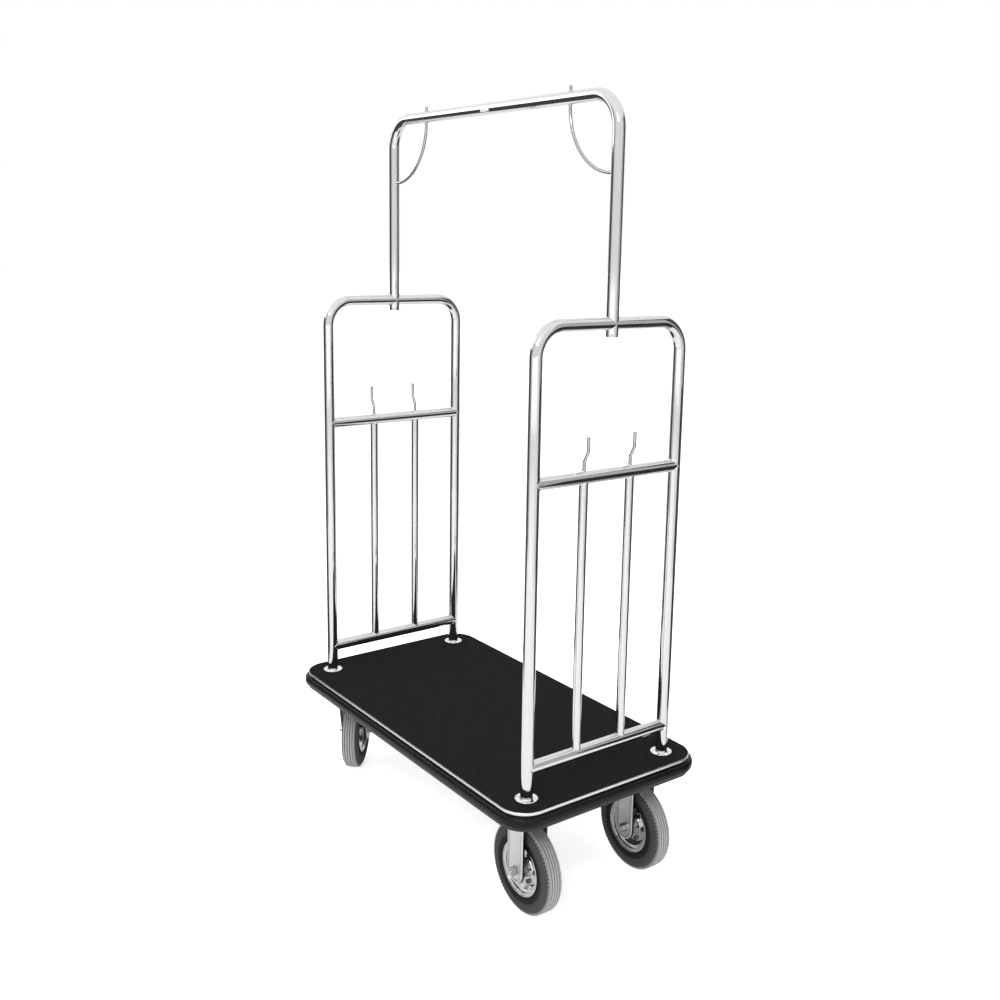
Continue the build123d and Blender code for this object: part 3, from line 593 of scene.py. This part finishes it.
NODE_FINISHES = {
    "deck_board": PLYWOOD, "side_rails": POWDER, "cross_rails": POWDER, "corner_plates": POWDER,
    "trim_screws": FASTENER_ZINC, "deck_screws": FASTENER_ZINC, "leg_bolts": FASTENER_ZINC,
    "caster_bolts": FASTENER_ZINC, "caster_nuts": FASTENER_ZINC, "kingpin_nuts": FASTENER_ZINC,
    "arch_screws": FASTENER_ZINC, "front_axles": FASTENER_ZINC, "rear_left_axle": FASTENER_ZINC,
    "rear_right_axle": FASTENER_ZINC, "swivel_plates": CASTER_ZINC, "blank_label": FOIL,
    "kingpins": BEARING, "swivel_balls": BEARING, "arch_plugs": BEARING, "leg_plugs": BEARING,
    "front_axle_spacers": BEARING, "rear_left_axle_spacers": BEARING, "rear_right_axle_spacers": BEARING,
}
WHEELS = ("front_left", "front_right", "rear_left", "rear_right")
NODE_FINISHES.update({f"{wheel}_bearings": BEARING for wheel in WHEELS})
NODE_FINISHES.update({f"{wheel}_rim_bolts": DARK_ZINC for wheel in WHEELS})


def dress_nodes():
    """Gives the CAD nodes that stay in view their materials."""
    for node, finish in NODE_FINISHES.items():
        NODES[node].material_slots[0].material = finish


# ---------------------------------------------------------------- deck

def carpet_piece():
    """The carpet: a grid over the board's rounded outline, ruffled by fixed waves, lapped over the trim.

    A row at y runs to the outline at that y, so rows crowd into the corners by the sine of their angle. The
    ruffle is one sine along the deck times one across it, each swaying with the other, plus a finer pair."""
    edge = 0.4 * MM
    reach = 2.4 * MM
    sunk = 0.25 * MM
    ruffle_height = 0.12 * MM
    corner_rows, straight_rows, columns = 16, 111, 271
    length, width, corner = (size + reach - edge for size in (HALF_LENGTH, HALF_WIDTH, BOARD_CORNER))
    turn = np.linspace(0, math.pi / 2, corner_rows)[1:]
    corner_y = width - corner + corner * np.sin(turn)
    corner_x = length - corner + corner * np.cos(turn)
    straight_y = np.linspace(-(width - corner), width - corner, straight_rows)
    row_y = np.concatenate([-corner_y[::-1], straight_y, corner_y])
    row_x = np.concatenate([corner_x[::-1], np.full(len(straight_y), length), corner_x])
    across = np.linspace(-1, 1, columns)
    x = row_x[:, None] * across
    y = np.broadcast_to(row_y[:, None], x.shape)
    ruffle = (np.sin(x * 910 + 3 * np.sin(y * 570)) * np.sin(y * 840 + 2 * np.sin(x * 690))
              + 0.6 * np.sin(x * 1700 + y * 1300) * np.sin(y * 1900 - x * 500))
    top = np.stack([x, y, DECK_TOP - sunk + ruffle_height * ruffle], -1)
    rim = np.concatenate([top[0], top[1:, -1], top[-1, -2::-1], top[-2:0:-1, 0]])
    line = rim[:, :2]
    ahead = np.roll(line, -1, 0) - np.roll(line, 1, 0)
    outward = unit(np.column_stack([ahead[:, 1], -ahead[:, 0]]))
    roll = np.linspace(0, math.pi / 2, 6)
    rings = [np.column_stack([line + outward * edge * math.sin(a),
                              rim[:, 2] * (1 - math.sin(a)) + math.sin(a) * (TRIM_TOP + 0.1 * MM)])
             for a in roll]
    lap_foot = TRIM_TOP + 0.02 * MM
    inside = reach + 0.1 * MM
    for inset, height in ((0, lap_foot), (inside, lap_foot), (inside, BOARD_TOP)):
        rings.append(np.column_stack([line + outward * (edge - inset), np.full(len(line), height)]))
    shell = Shell().grid(top).grid(np.stack(rings), close_columns=True).cap(rings[-1])
    make("carpet_sheet", shell, CARPET, "cart", ["deck_carpet"])


def edge_pieces():
    """The edge trim, with its crowned strip and lower lip, and the bumper, a rounded band with a tongue.

    The strip's face falls with the square of the height from its middle. The bumper's nose goes out by the
    cosine of its turn and up by the sine, each to the power that makes it blunt."""
    bevel = 0.7 * MM
    crown = 0.25 * MM
    rise = np.linspace(0, 1, 7)
    face_foot = STRIP_FOOT + bevel
    face_height = TRIM_TOP - STRIP_FOOT - 2 * bevel
    face = [(TRIM_OUT - crown * (2 * t - 1) ** 2, face_foot + t * face_height) for t in rise]
    lip = [(0, TRIM_FOOT), (TRIM_OUT - bevel, TRIM_FOOT), (TRIM_OUT, TRIM_FOOT + bevel),
           (TRIM_OUT, LIP_TOP - bevel), (TRIM_OUT - bevel, LIP_TOP), (WEB, LIP_TOP)]
    trim = [*lip, (WEB, STRIP_FOOT), (TRIM_OUT - bevel, STRIP_FOOT), *face, (TRIM_OUT - bevel, TRIM_TOP),
            (0, TRIM_TOP)]
    # Zone 1 on the lower lip: painted shade under the bumper.
    shaded_lip = (np.arange(len(trim)) < len(lip)).astype(float)
    make("edge_strip", Shell().grid(board_band(trim), True, True, shaded_lip), EDGE_METAL, "cart",
         ["edge_trim"], crease=30)

    tongue = 1.2 * MM
    tongue_rise = 3 * MM
    back = WEB + 1.5 * MM
    half = (STRIP_FOOT - tongue_rise - BUMPER_FOOT) / 2
    turn = np.linspace(-math.pi / 2, math.pi / 2, 25)
    blunt = 0.72
    swell = np.sign(np.sin(turn)) * np.abs(np.sin(turn)) ** blunt
    nose = np.column_stack([back + (BUMPER_OUT - back) * np.cos(turn) ** blunt,
                            BUMPER_FOOT + half + half * swell])
    band = [(WEB, BUMPER_FOOT), *nose.tolist(), (WEB + tongue, STRIP_FOOT - tongue_rise + bevel),
            (WEB + tongue, STRIP_FOOT), (WEB, STRIP_FOOT)]
    make("bumper_band", Shell().grid(board_band(band), True, True), VINYL, "cart", ["bumper"])


# ---------------------------------------------------------------- tube frame

def hoop_pieces():
    """The two end hoops, bent from round tube."""
    for name, end in zip(("front", "rear"), ENDS):
        x = end * LEG_X
        corners = [(x, -LEG_Y, LEG_FOOT), (x, -LEG_Y, HOOP_Z), (x, LEG_Y, HOOP_Z), (x, LEG_Y, LEG_FOOT)]
        line = bent_line(corners, HOOP_BEND, 32)
        shell = Shell().grid(closed_bar(*line, X, TUBE, 64), close_columns=True)
        make(f"{name}_hoop_tube", shell, CHROME, "cart", [f"{name}_hoop"])


def bar_pieces():
    """The cross bars and the balusters, each shaped to what it meets."""
    for name, height in (("upper", UPPER_Z), ("lower", LOWER_Z)):
        shell = Shell()
        for end in ENDS:
            start = np.array([end * LEG_X, -LEG_Y, height])
            shell.grid(coped_post(start, start + 2 * LEG_Y * Y, Z, TUBE, TUBE), close_columns=True)
        make(f"{name}_bar_tubes", shell, CHROME, "cart", [f"{name}_bars"])
    shell = Shell()
    for end in ENDS:
        for side in SIDES:
            foot = np.array([end * LEG_X, side * POST_Y, LOWER_Z])
            shell.grid(coped_post(foot, foot + (UPPER_Z - LOWER_Z) * Z, Y, POST, TUBE), close_columns=True)
    make("baluster_tubes", shell, CHROME, "cart", ["balusters"])


def arch_pieces():
    """The arch, coped onto the hoops, and the saddle caps that close the joint from below."""
    points, headings = bent_line([(-LEG_X, 0, HOOP_Z), (-LEG_X, 0, ARCH_Z), (LEG_X, 0, ARCH_Z),
                                  (LEG_X, 0, HOOP_Z)], ARCH_BEND, 36)
    rings = round_bar(points, headings, Y, TUBE, 64)
    lean = rings[[0, -1], :, 0] - points[[0, -1], None, 0]
    rings[[0, -1], :, 2] = HOOP_Z + np.sqrt(np.maximum(TUBE ** 2 - lean ** 2, 0))
    ends = [np.broadcast_to(points[i] + TUBE * Z, (1, 64, 3)) for i in (0, -1)]
    shell = Shell().grid(np.concatenate([ends[0], rings, ends[1]]), close_columns=True)
    make("arch_bent_tube", shell, CHROME, "cart", ["arch_tube"])

    edge = 2 * MM
    bore = 6.8 * MM
    seat = 9.5 * MM
    quarter = np.linspace(0, math.pi / 2, 7)
    lower = [(TUBE - edge + edge * math.cos(a), CAP_FOOT + edge - edge * math.sin(a)) for a in quarter]
    lower += [(bore + 0.4 * MM, CAP_FOOT), (bore, CAP_FOOT + 0.4 * MM), (bore, CAP_FOOT + seat),
              (0, CAP_FOOT + seat)]
    shell = Shell()
    for end in ENDS:
        base = np.array([end * LEG_X, 0, HOOP_Z])
        top, outward = saddle(base, Y, -Z, TUBE, TUBE)
        middle = np.broadcast_to(base - TUBE * Z, top.shape)
        rings = [base * [1, 1, 0] + outward * radius + height * Z for radius, height in lower]
        shell.grid(np.stack([middle, top, *rings]), close_columns=True)
    make("saddle_cap_shells", shell, CHROME, "cart", ["arch_saddle_caps"])


def rod_pieces():
    """The cranked coat hooks and the quarter-round hanger stops, with rounded tips."""
    tip = 1.2 * MM
    shell = Shell()
    rise = UPPER_Z + TUBE + HOOK_RISE
    for end in ENDS:
        for side in SIDES:
            y = side * POST_Y
            corners = [(end * LEG_X, y, UPPER_Z + TUBE - MM), (end * LEG_X, y, rise),
                       (end * HOOK_X, y, rise + HOOK_SLOPE), (end * HOOK_X, y, HOOK_TIP)]
            line = bent_line(corners, HOOK_BEND, 10)
            shell.grid(closed_bar(*line, Y, ROD, 24, round_end=tip), close_columns=True)
    make("coat_hook_rods", shell, ROD_CHROME, "cart", ["coat_hooks"])

    shell = Shell()
    foot_x = LEG_X - TUBE
    top = ARCH_Z - TUBE
    for end in ENDS:
        x = end * (foot_x - STOP_BEND)
        foot = low("hanger_stops")[2] + ROD
        line = bent_line([(x, 0, STOP_TIP), (x, 0, foot), (end * (foot_x + MM), 0, foot)],
                         min(STOP_BEND, top - foot), 40)
        shell.grid(closed_bar(*line, Y, ROD, 24, round_start=tip), close_columns=True)
    make("hanger_stop_rods", shell, ROD_CHROME, "cart", ["hanger_stops"])


def weld_pieces():
    """The dressed weld beads where bars, balusters and rods meet the tubes."""
    bead = 1.3 * MM
    small = 1.0 * MM
    shell = Shell()

    def lay(base, along, out, post, bar, size):
        """Adds one bead."""
        shell.grid(weld_bead(np.array(base), along, out, post, bar, size), True, True)

    for end in ENDS:
        x = end * LEG_X
        for side in SIDES:
            for height in (UPPER_Z, LOWER_Z):
                lay((x, side * LEG_Y, height), Z, -side * Y, TUBE, TUBE, bead)
            lay((x, side * POST_Y, LOWER_Z), Y, Z, POST, TUBE, bead)
            lay((x, side * POST_Y, UPPER_Z), Y, -Z, POST, TUBE, bead)
            lay((x, side * POST_Y, UPPER_Z), Y, Z, ROD, TUBE, small)
        lay((x, 0, low("hanger_stops")[2] + ROD), Z, -end * X, ROD, TUBE, small)
        for out in (Z, -Z):
            lay((end * (LEG_X - TUBE - STOP_BEND), 0, ARCH_Z), X, out, ROD, TUBE, small)
    make("weld_beads", shell, WELD, "cart")


def flange_pieces():
    """The flanges round the feet: a thin flat disc with a rounded edge, and a low collar at the tube."""
    tall = FLANGE_TOP - DECK_TOP
    inner = TUBE + 0.1 * MM
    section = [(inner, 0), (FLANGE - 0.4 * MM, 0), (FLANGE, 0.5 * MM), (FLANGE, 1.0 * MM),
               (FLANGE - 0.25 * MM, 1.35 * MM), (FLANGE - 0.9 * MM, 1.6 * MM),
               (inner + 0.9 * MM, 1.6 * MM), (inner + 0.6 * MM, 2.0 * MM),
               (inner + 0.5 * MM, tall - 0.3 * MM), (inner + 0.3 * MM, tall), (inner + 0.1 * MM, tall),
               (inner, tall - 0.2 * MM)]
    shell = Shell()
    for end in ENDS:
        for side in SIDES:
            centre = np.array([end * LEG_X, side * LEG_Y, DECK_TOP])
            shell.grid(spun(centre, Z, section, 64), True, True)
    make("leg_foot_flanges", shell, FLANGE_CHROME, "cart", ["foot_flanges"], crease=60)


# ---------------------------------------------------------------- wheels

TYRE_RADIUS = high("front_left_tyre")[2] / 2
TYRE_HALF = 24 * MM
BEAD_RADIUS = 60.3 * MM
RIM_EDGE = 67 * MM
RIM_HALF = 21 * MM
LUGS = 72
LUG_STEPS = 6


def tyre_profile():
    """The tyre's section as radius, offset and zone: bead, side, shoulder and a tread with four grooves.

    The side bulges by the cosine of its turn to the power 0.8, less a bell-shaped step near the bead.
    The tread falls with the square of the offset, less a groove wherever the offset is near a groove's
    middle."""
    bulge, shoulder_half = 5.2 * MM, 16.2 * MM
    step_radius, step_spread, step_depth = 83 * MM, 0.8 * MM, 0.5 * MM
    tread_half, tread_fall = 16 * MM, 0.6 * MM
    groove_half, groove_flank, groove_depth = 1.0 * MM, 0.5 * MM, 1.8 * MM
    side_turn = np.linspace(-math.pi / 2, math.pi / 2, 26)
    side_middle = (RIM_EDGE + TYRE_RADIUS) / 2 - 2 * MM
    side_half = (TYRE_RADIUS - RIM_EDGE) / 2 - 4.5 * MM
    side_r = side_middle + side_half * np.sin(side_turn)
    side_h = TYRE_HALF - bulge + bulge * np.cos(side_turn) ** 0.8
    side_h = side_h - np.exp(-((side_r - step_radius) / step_spread) ** 2) * step_depth
    shoulder_turn = np.linspace(0.15, math.pi / 2, 8)
    shoulder_r = side_r[-1] + (TYRE_RADIUS - 0.7 * MM - side_r[-1]) * np.sin(shoulder_turn)
    shoulder_h = shoulder_half + (side_h[-1] - shoulder_half) * np.cos(shoulder_turn)
    tread_h = np.linspace(tread_half, 0, 54)
    groove = sum(np.clip((groove_half - np.abs(tread_h - middle)) / groove_flank, 0, 1)
                 for middle in (3.6 * MM, 11.0 * MM))
    tread_r = TYRE_RADIUS - tread_fall * (tread_h / tread_half) ** 2 - groove_depth * groove
    bead_r = np.array([BEAD_RADIUS, BEAD_RADIUS, RIM_EDGE + 0.4 * MM])
    bead_half = RIM_HALF - 2.1 * MM
    bead_h = np.array([0.0, bead_half, bead_half])
    radius = np.concatenate([bead_r, side_r, shoulder_r, tread_r])
    offset = np.concatenate([bead_h, side_h, shoulder_h, tread_h])
    side_zone = np.interp(side_r, [81.5 * MM, 83.5 * MM, 100 * MM, 108 * MM], [0.1, 0.42, 0.55, 0.7])
    # The tread's high zone is pale rubber and partly painted light; the grooves lower it by 0.45, painted
    # shade in the grooves.
    zone = np.concatenate([np.zeros(3), side_zone, np.full(len(shoulder_r), 0.8), 0.95 - 0.45 * groove])
    mirrored = slice(-2, 0, -1)
    return (np.concatenate([radius, radius[mirrored]]), np.concatenate([offset, -offset[mirrored]]),
            np.concatenate([zone, zone[mirrored]]))


def tyre_shell(centre, axle):
    """The tyre spun round its axle, with a row of lugs pressed into both shoulders.

    Between lugs the shoulder dips by a bell curve of the radius times a clipped cosine of LUGS turns."""
    shoulder_radius, spread = TYRE_RADIUS - 7.5 * MM, 5.5 * MM
    inner_edge = 15.9 * MM
    dip_in, dip_across, dip_shade = 0.9 * MM, 1.5 * MM, 0.03
    radius, offset, zone = tyre_profile()
    steps = LUGS * LUG_STEPS
    turn = np.linspace(0, 2 * math.pi, steps, endpoint=False)[:, None]
    shoulder = np.exp(-((radius - shoulder_radius) / spread) ** 2) * (np.abs(offset) > inner_edge)
    dip = shoulder * np.clip(0.5 - 1.1 * np.cos(LUGS * turn), 0, 1)
    profile = np.stack([radius - dip_in * dip, offset - np.sign(offset) * dip_across * dip], -1)
    # The zone falls a little in the dips between the lugs: painted shade.
    return Shell().grid(spun(centre, axle, profile, steps), True, True, zone - dip_shade * dip)


def rim_shell(centre, axle):
    """The two pressed rim halves: disc, cone, seat, flange and a curled lip, each a bent sheet."""
    wall = 2 * MM
    corners = np.array([(23.2, 1.0), (44.5, 1.0), (52.5, 13.0), (59.0, 15.0), (59.0, 20.0), (65.9, 20.0),
                        (66.0, 22.6)]) * MM
    section = sheet_section(corners, 1.15 * MM, wall)
    shell = Shell()
    for side in SIDES:
        shell.grid(spun(centre, axle, section * [1, side], 96), True, True)
    return shell


def hub_shell(centre, axle):
    """The hub barrel, with chamfered ends and a fillet where it meets the disc."""
    section = np.array([(17.6, 0), (17.6, 26.6), (18.1, 27), (22.0, 27), (23, 26), (23, 5.5), (23.6, 3.4),
                        (25, 2.2)])
    section = np.concatenate([section, (section * [1, -1])[:0:-1]]) * MM
    return Shell().grid(spun(centre, axle, section, 72), True, True)


def wheel_pieces():
    """A tyre, a rim and a hub for each wheel, placed by the wheel's own joint."""
    for wheel in WHEELS:
        joint = JOINTS[f"{wheel}_roll"]
        centre = np.array(joint["pos_m"])
        axle = np.array(joint["axis"], float)
        body = f"{wheel}_wheel"
        make(f"{wheel}_grey_tyre", tyre_shell(centre, axle), RUBBER, body, [f"{wheel}_tyre"])
        make(f"{wheel}_rim", rim_shell(centre, axle), RIM_STEEL, body, [f"{wheel}_rim_halves"])
        make(f"{wheel}_hub_barrel", hub_shell(centre, axle), HUB_CHROME, body, [f"{wheel}_hub"])


# ---------------------------------------------------------------- forks

def tangent_angle(x, z, radius, side):
    """The angle at which a line from (x, z) touches a circle round the axle, on its front or back."""
    return math.atan2(z, x) - side * math.acos(radius / math.hypot(x, z))


def leg_rows(back, front, top):
    """A leg's outline from its top back, round the axle, to its top front, and the spine that faces it.

    Gives, for each point, its place (x, z), its outward direction and its point on the spine."""
    start = tangent_angle(back, top, FORK_END, -1)
    stop = tangent_angle(front, top, FORK_END, 1)
    turn = np.linspace(start, stop + 2 * math.pi, 40)
    arc_out = np.column_stack([np.cos(turn), np.sin(turn)])
    share = np.linspace(0, 1, 12)[:-1, None]
    first = np.array([[back, top]]) * (1 - share) + arc_out[:1] * FORK_END * share
    last = (np.array([[front, top]]) * (1 - share) + arc_out[-1:] * FORK_END * share)[::-1]
    points = np.concatenate([first, arc_out * FORK_END, last])
    outward = np.concatenate([np.repeat(arc_out[:1], len(first), 0), arc_out,
                              np.repeat(arc_out[-1:], len(last), 0)])
    head = np.array([[(back + front) / 2, top]])
    spine = np.concatenate([head * (1 - share), np.zeros((len(turn), 2)), (head * (1 - share))[::-1]])
    return points, outward, spine


def pressed_leg(shell, place, back, front, top, side):
    """Adds one fork leg: a web pressed in from its flat border, its rounded edge turned in to the wheel."""
    points, outward, spine = leg_rows(back, front, top)
    bend = 3.6 * MM
    press = 0.9 * MM
    quarter = np.linspace(0, math.pi / 2, 6)
    outer = [(bend * (1 - math.sin(a)), FORK_OUT - bend * (1 - math.cos(a))) for a in quarter]
    lip = FORK_OUT - FORK_FLANGE
    edge = [(0, lip + 0.4 * MM), (0.4 * MM, lip), (FORK_WALL - 0.7 * MM, lip),
            (FORK_WALL - 0.3 * MM, lip + 0.4 * MM)]
    inner = [(FORK_WALL, FORK_OUT - FORK_WALL - 1.6 * MM), (FORK_WALL + 1.6 * MM, FORK_OUT - FORK_WALL)]
    web = [(8.6 * MM, FORK_OUT - press), (7.8 * MM, FORK_OUT - press * 0.85),
           (6.6 * MM, FORK_OUT - press * 0.15), (5.8 * MM, FORK_OUT)]
    columns = [(spine, FORK_OUT - press)]
    columns += [(points - outward * inset, depth) for inset, depth in web + outer + edge + inner]
    columns.append((spine, FORK_OUT - FORK_WALL))
    rows = np.stack([place(flat[:, 0], side * depth, flat[:, 1]) for flat, depth in columns], 1)
    # Painted shade in the zone: 1 from the end of the outer bend round the turned-in edge and the inside of
    # the leg, 0.7 on the slope of the press.
    painted_leg_shade = (np.arange(len(columns)) >= len(web) + len(outer) - 1).astype(float)
    press_line = slice(2, 4)
    painted_leg_shade[press_line] = 0.7
    shell.grid(rows, zone=painted_leg_shade).cap(rows[0]).cap(rows[-1])


def fork_place(centre, forward, axle):
    """Turns fork coordinates (forward, along the axle, up from the axle) into places."""
    def place(x, y, z):
        """Moves from the axle's middle by each coordinate along its own direction."""
        x, y, z = np.broadcast_arrays(x, y, z)
        return centre + x[..., None] * forward + y[..., None] * axle + z[..., None] * Z
    return place


def crown(shell, place, back, front, bottom, top):
    """Adds the flat crown above the legs."""
    plate = round_plate((front - back) / 2, FORK_OUT, 2 * MM, bottom, top)
    shell.grid(place(plate[..., 0] + (front + back) / 2, plate[..., 1], plate[..., 2]), close_rows=True)


def rigid_fork_piece():
    """The two fixed forks, each welded to its mounting plate."""
    plate_half_x, plate_half_y, corner = 47.5 * MM, 42.5 * MM, 6 * MM
    shell = Shell()
    for wheel in ("front_left", "front_right"):
        centre = np.array(JOINTS[f"{wheel}_roll"]["pos_m"])
        place = fork_place(centre, X, Y)
        plate_foot = PLATE_TOP - PLATE_WALL - centre[2]
        for side in SIDES:
            pressed_leg(shell, place, -FORK_END, FORK_END, plate_foot - CROWN_WALL, side)
        crown(shell, place, -FORK_END, FORK_END, plate_foot - CROWN_WALL, plate_foot)
        plate = round_plate(plate_half_x, plate_half_y, corner, plate_foot, plate_foot + PLATE_WALL)
        shell.grid(place(plate[..., 0], plate[..., 1], plate[..., 2]), close_rows=True)
    make("fixed_caster_forks", shell, CASTER_ZINC, "cart", ["rigid_forks"])


def swivel_fork_pieces():
    """The swivel forks: legs that run back to the axle, a crown and the race's skirt."""
    trail, crown_back, crown_front = 50 * MM, 42 * MM, 30 * MM
    skirt, skirt_wall, skirt_height = 33 * MM, 2.5 * MM, 8.5 * MM
    race_floor = 0.2 * MM
    for name in ("left", "right"):
        roll = JOINTS[f"rear_{name}_roll"]
        pin = np.array(JOINTS[f"rear_{name}_turn"]["pos_m"])
        centre = np.array(roll["pos_m"])
        axle = unit(np.array(roll["axis"], float))
        forward = np.cross(axle, Z)
        place = fork_place(centre, forward, axle)
        skirt_top = high(f"rear_{name}_fork")[2]
        crown_top = skirt_top - skirt_height
        top = crown_top - centre[2]
        back, front = trail - crown_back, trail + crown_front
        shell = Shell()
        for side in SIDES:
            pressed_leg(shell, place, back, front, top - CROWN_WALL, side)
        crown(shell, place, back, front, top - CROWN_WALL, top)
        lip = 0.5 * MM
        rim = skirt_top - crown_top
        section = [(KINGPIN_BORE, -CROWN_WALL), (skirt - MM, -CROWN_WALL), (skirt, -CROWN_WALL + MM),
                   (skirt, rim - lip), (skirt - lip, rim), (skirt - skirt_wall + lip, rim),
                   (skirt - skirt_wall, rim - lip), (skirt - skirt_wall, race_floor),
                   (KINGPIN_BORE, race_floor)]
        shell.grid(spun(pin * [1, 1, 0] + crown_top * Z, Z, section, 72), True, True)
        make(f"rear_{name}_swivel_fork", shell, CASTER_ZINC, f"rear_{name}_swivel",
             [f"rear_{name}_fork"])


# ---------------------------------------------------------------- studio

def stage_mesh(name, points, finish):
    """A flat or curved piece of the studio."""
    mesh = bpy.data.meshes.new(name)
    rows, columns = points.shape[:2]
    mesh.from_pydata(points.reshape(-1, 3).tolist(), [], grid_faces(rows, columns, False, False).tolist())
    mesh.materials.append(finish)
    piece = bpy.data.objects.new(name, mesh)
    bpy.context.scene.collection.objects.link(piece)
    return piece


def floor_piece():
    """The pale floor."""
    reach = 40.0
    across = np.linspace(-reach, reach, 3)
    x, y = np.meshgrid(across, across, indexing="ij")
    stage_mesh("floor", np.stack([x, y, np.zeros_like(x)], -1), floor_finish())


def flag_ring(name, radii, heights, start, stop, tone):
    """A grey card swept round part of the studio between two radii and heights, seen only in reflections."""
    turn = np.radians(np.linspace(start, stop, 24))[:, None]
    radius = np.array(radii)[None, :]
    height = np.array(heights)[None, :]
    points = np.stack(np.broadcast_arrays(radius * np.cos(turn), radius * np.sin(turn), height), -1)
    card = stage_mesh(name, points, flag_finish(f"{name}_card", tone))
    card.visible_camera = False
    card.visible_shadow = False
    card.visible_diffuse = False


def soft_light(name, place, aim, size, power):
    """A large square lamp that points at a place."""
    data = bpy.data.lights.new(name, "AREA")
    data.shape = "SQUARE"
    data.size = size
    data.energy = power
    lamp = bpy.data.objects.new(name, data)
    bpy.context.scene.collection.objects.link(lamp)
    back = unit(np.array(place, float) - aim)
    right = unit(np.cross(Z, back))
    set_axes(lamp, right, np.cross(back, right), back, place)


def set_axes(thing, right, up, back, place):
    """Sets an object's place and its three axes."""
    turn = np.eye(4)
    turn[:3] = np.column_stack([right, up, back, place])
    thing.matrix_world = Matrix(turn.tolist())


def studio():
    """Floor, cards, lamps and an even pale surround."""
    floor_piece()
    flag_ring("low_right_card", (2.4, 2.4), (0.0, 1.0), 28, 46, 0.02)
    flag_ring("right_card", (3.0, 3.0), (0.0, 3.2), 44, 84, 0.05)
    flag_ring("right_grey_card", (3.1, 3.1), (0.0, 3.2), 20, 44, 0.34)
    flag_ring("right_pale_card", (3.1, 3.1), (0.0, 3.2), -6, 20, 0.62)
    flag_ring("right_edge_card", (3.1, 3.1), (0.0, 3.2), 84, 105, 0.4)
    flag_ring("left_card", (3.2, 3.2), (0.0, 2.05), 200, 243, 0.04)
    flag_ring("left_grey_card", (3.3, 3.3), (0.0, 3.2), 243, 256, 0.16)
    flag_ring("left_pale_card", (3.3, 3.3), (0.0, 3.2), 256, 272, 0.45)
    flag_ring("left_edge_card", (3.3, 3.3), (0.0, 2.2), 180, 200, 0.4)
    flag_ring("ground_card", (0.01, 8.0), (0.001, 0.001), 0, 360, 0.85)
    flag_ring("right_ground_card", (1.4, 3.0), (0.002, 0.002), 46, 85, 0.05)
    flag_ring("bar_ground_card", (1.5, 2.4), (0.003, 0.003), 30, 48, 0.03)
    flag_ring("bar_grey_card", (0.95, 1.5), (0.003, 0.003), 36, 60, 0.3)
    flag_ring("left_ground_card", (1.35, 3.2), (0.002, 0.002), 196, 250, 0.05)
    flag_ring("ceiling_card", (0.01, 6.0), (4.2, 4.2), 0, 360, 0.62)
    aim = np.array([0, 0, 0.8])
    soft_light("key", (3.2, -3.6, 4.2), aim, 1.4, 110)
    soft_light("fill", (-3.8, -2.6, 3.0), aim, 2.6, 25)
    soft_light("top", (0.3, 0.4, 5.4), aim, 3.0, 45)
    world = bpy.data.worlds.new("surround")
    bpy.context.scene.world = world
    world.use_nodes = True
    world.node_tree.nodes["Background"].inputs["Color"].default_value = (1.0, 1.0, 1.0, 1.0)
    world.node_tree.nodes["Background"].inputs["Strength"].default_value = 1.0
    bpy.context.scene.view_settings.view_transform = "Standard"


def camera():
    """The camera: its place, and where it points by its turn, its height angle and a slight tilt."""
    place = (2.36013, -1.66691, 1.58238)
    turn, rise, tilt = (math.radians(a) for a in (52.8938, 10.9008, 1.1472))
    back = np.array([math.sin(turn) * math.cos(rise), -math.cos(turn) * math.cos(rise), math.sin(rise)])
    right = unit(np.cross(-back, Z))
    up = np.cross(back, right)
    data = bpy.data.cameras.new("camera")
    data.sensor_width = 36.0
    data.lens = 40.405
    data.shift_x = -0.02343
    data.shift_y = -0.04679
    data.clip_end = 100
    thing = bpy.data.objects.new("camera", data)
    bpy.context.scene.collection.objects.link(thing)
    tilted_right = right * math.cos(tilt) + up * math.sin(tilt)
    tilted_up = up * math.cos(tilt) - right * math.sin(tilt)
    set_axes(thing, tilted_right, tilted_up, back, place)
    bpy.context.scene.camera = thing


dress_nodes()
carpet_piece()
edge_pieces()
hoop_pieces()
bar_pieces()
arch_pieces()
rod_pieces()
weld_pieces()
flange_pieces()
wheel_pieces()
rigid_fork_piece()
swivel_fork_pieces()
studio()
camera()
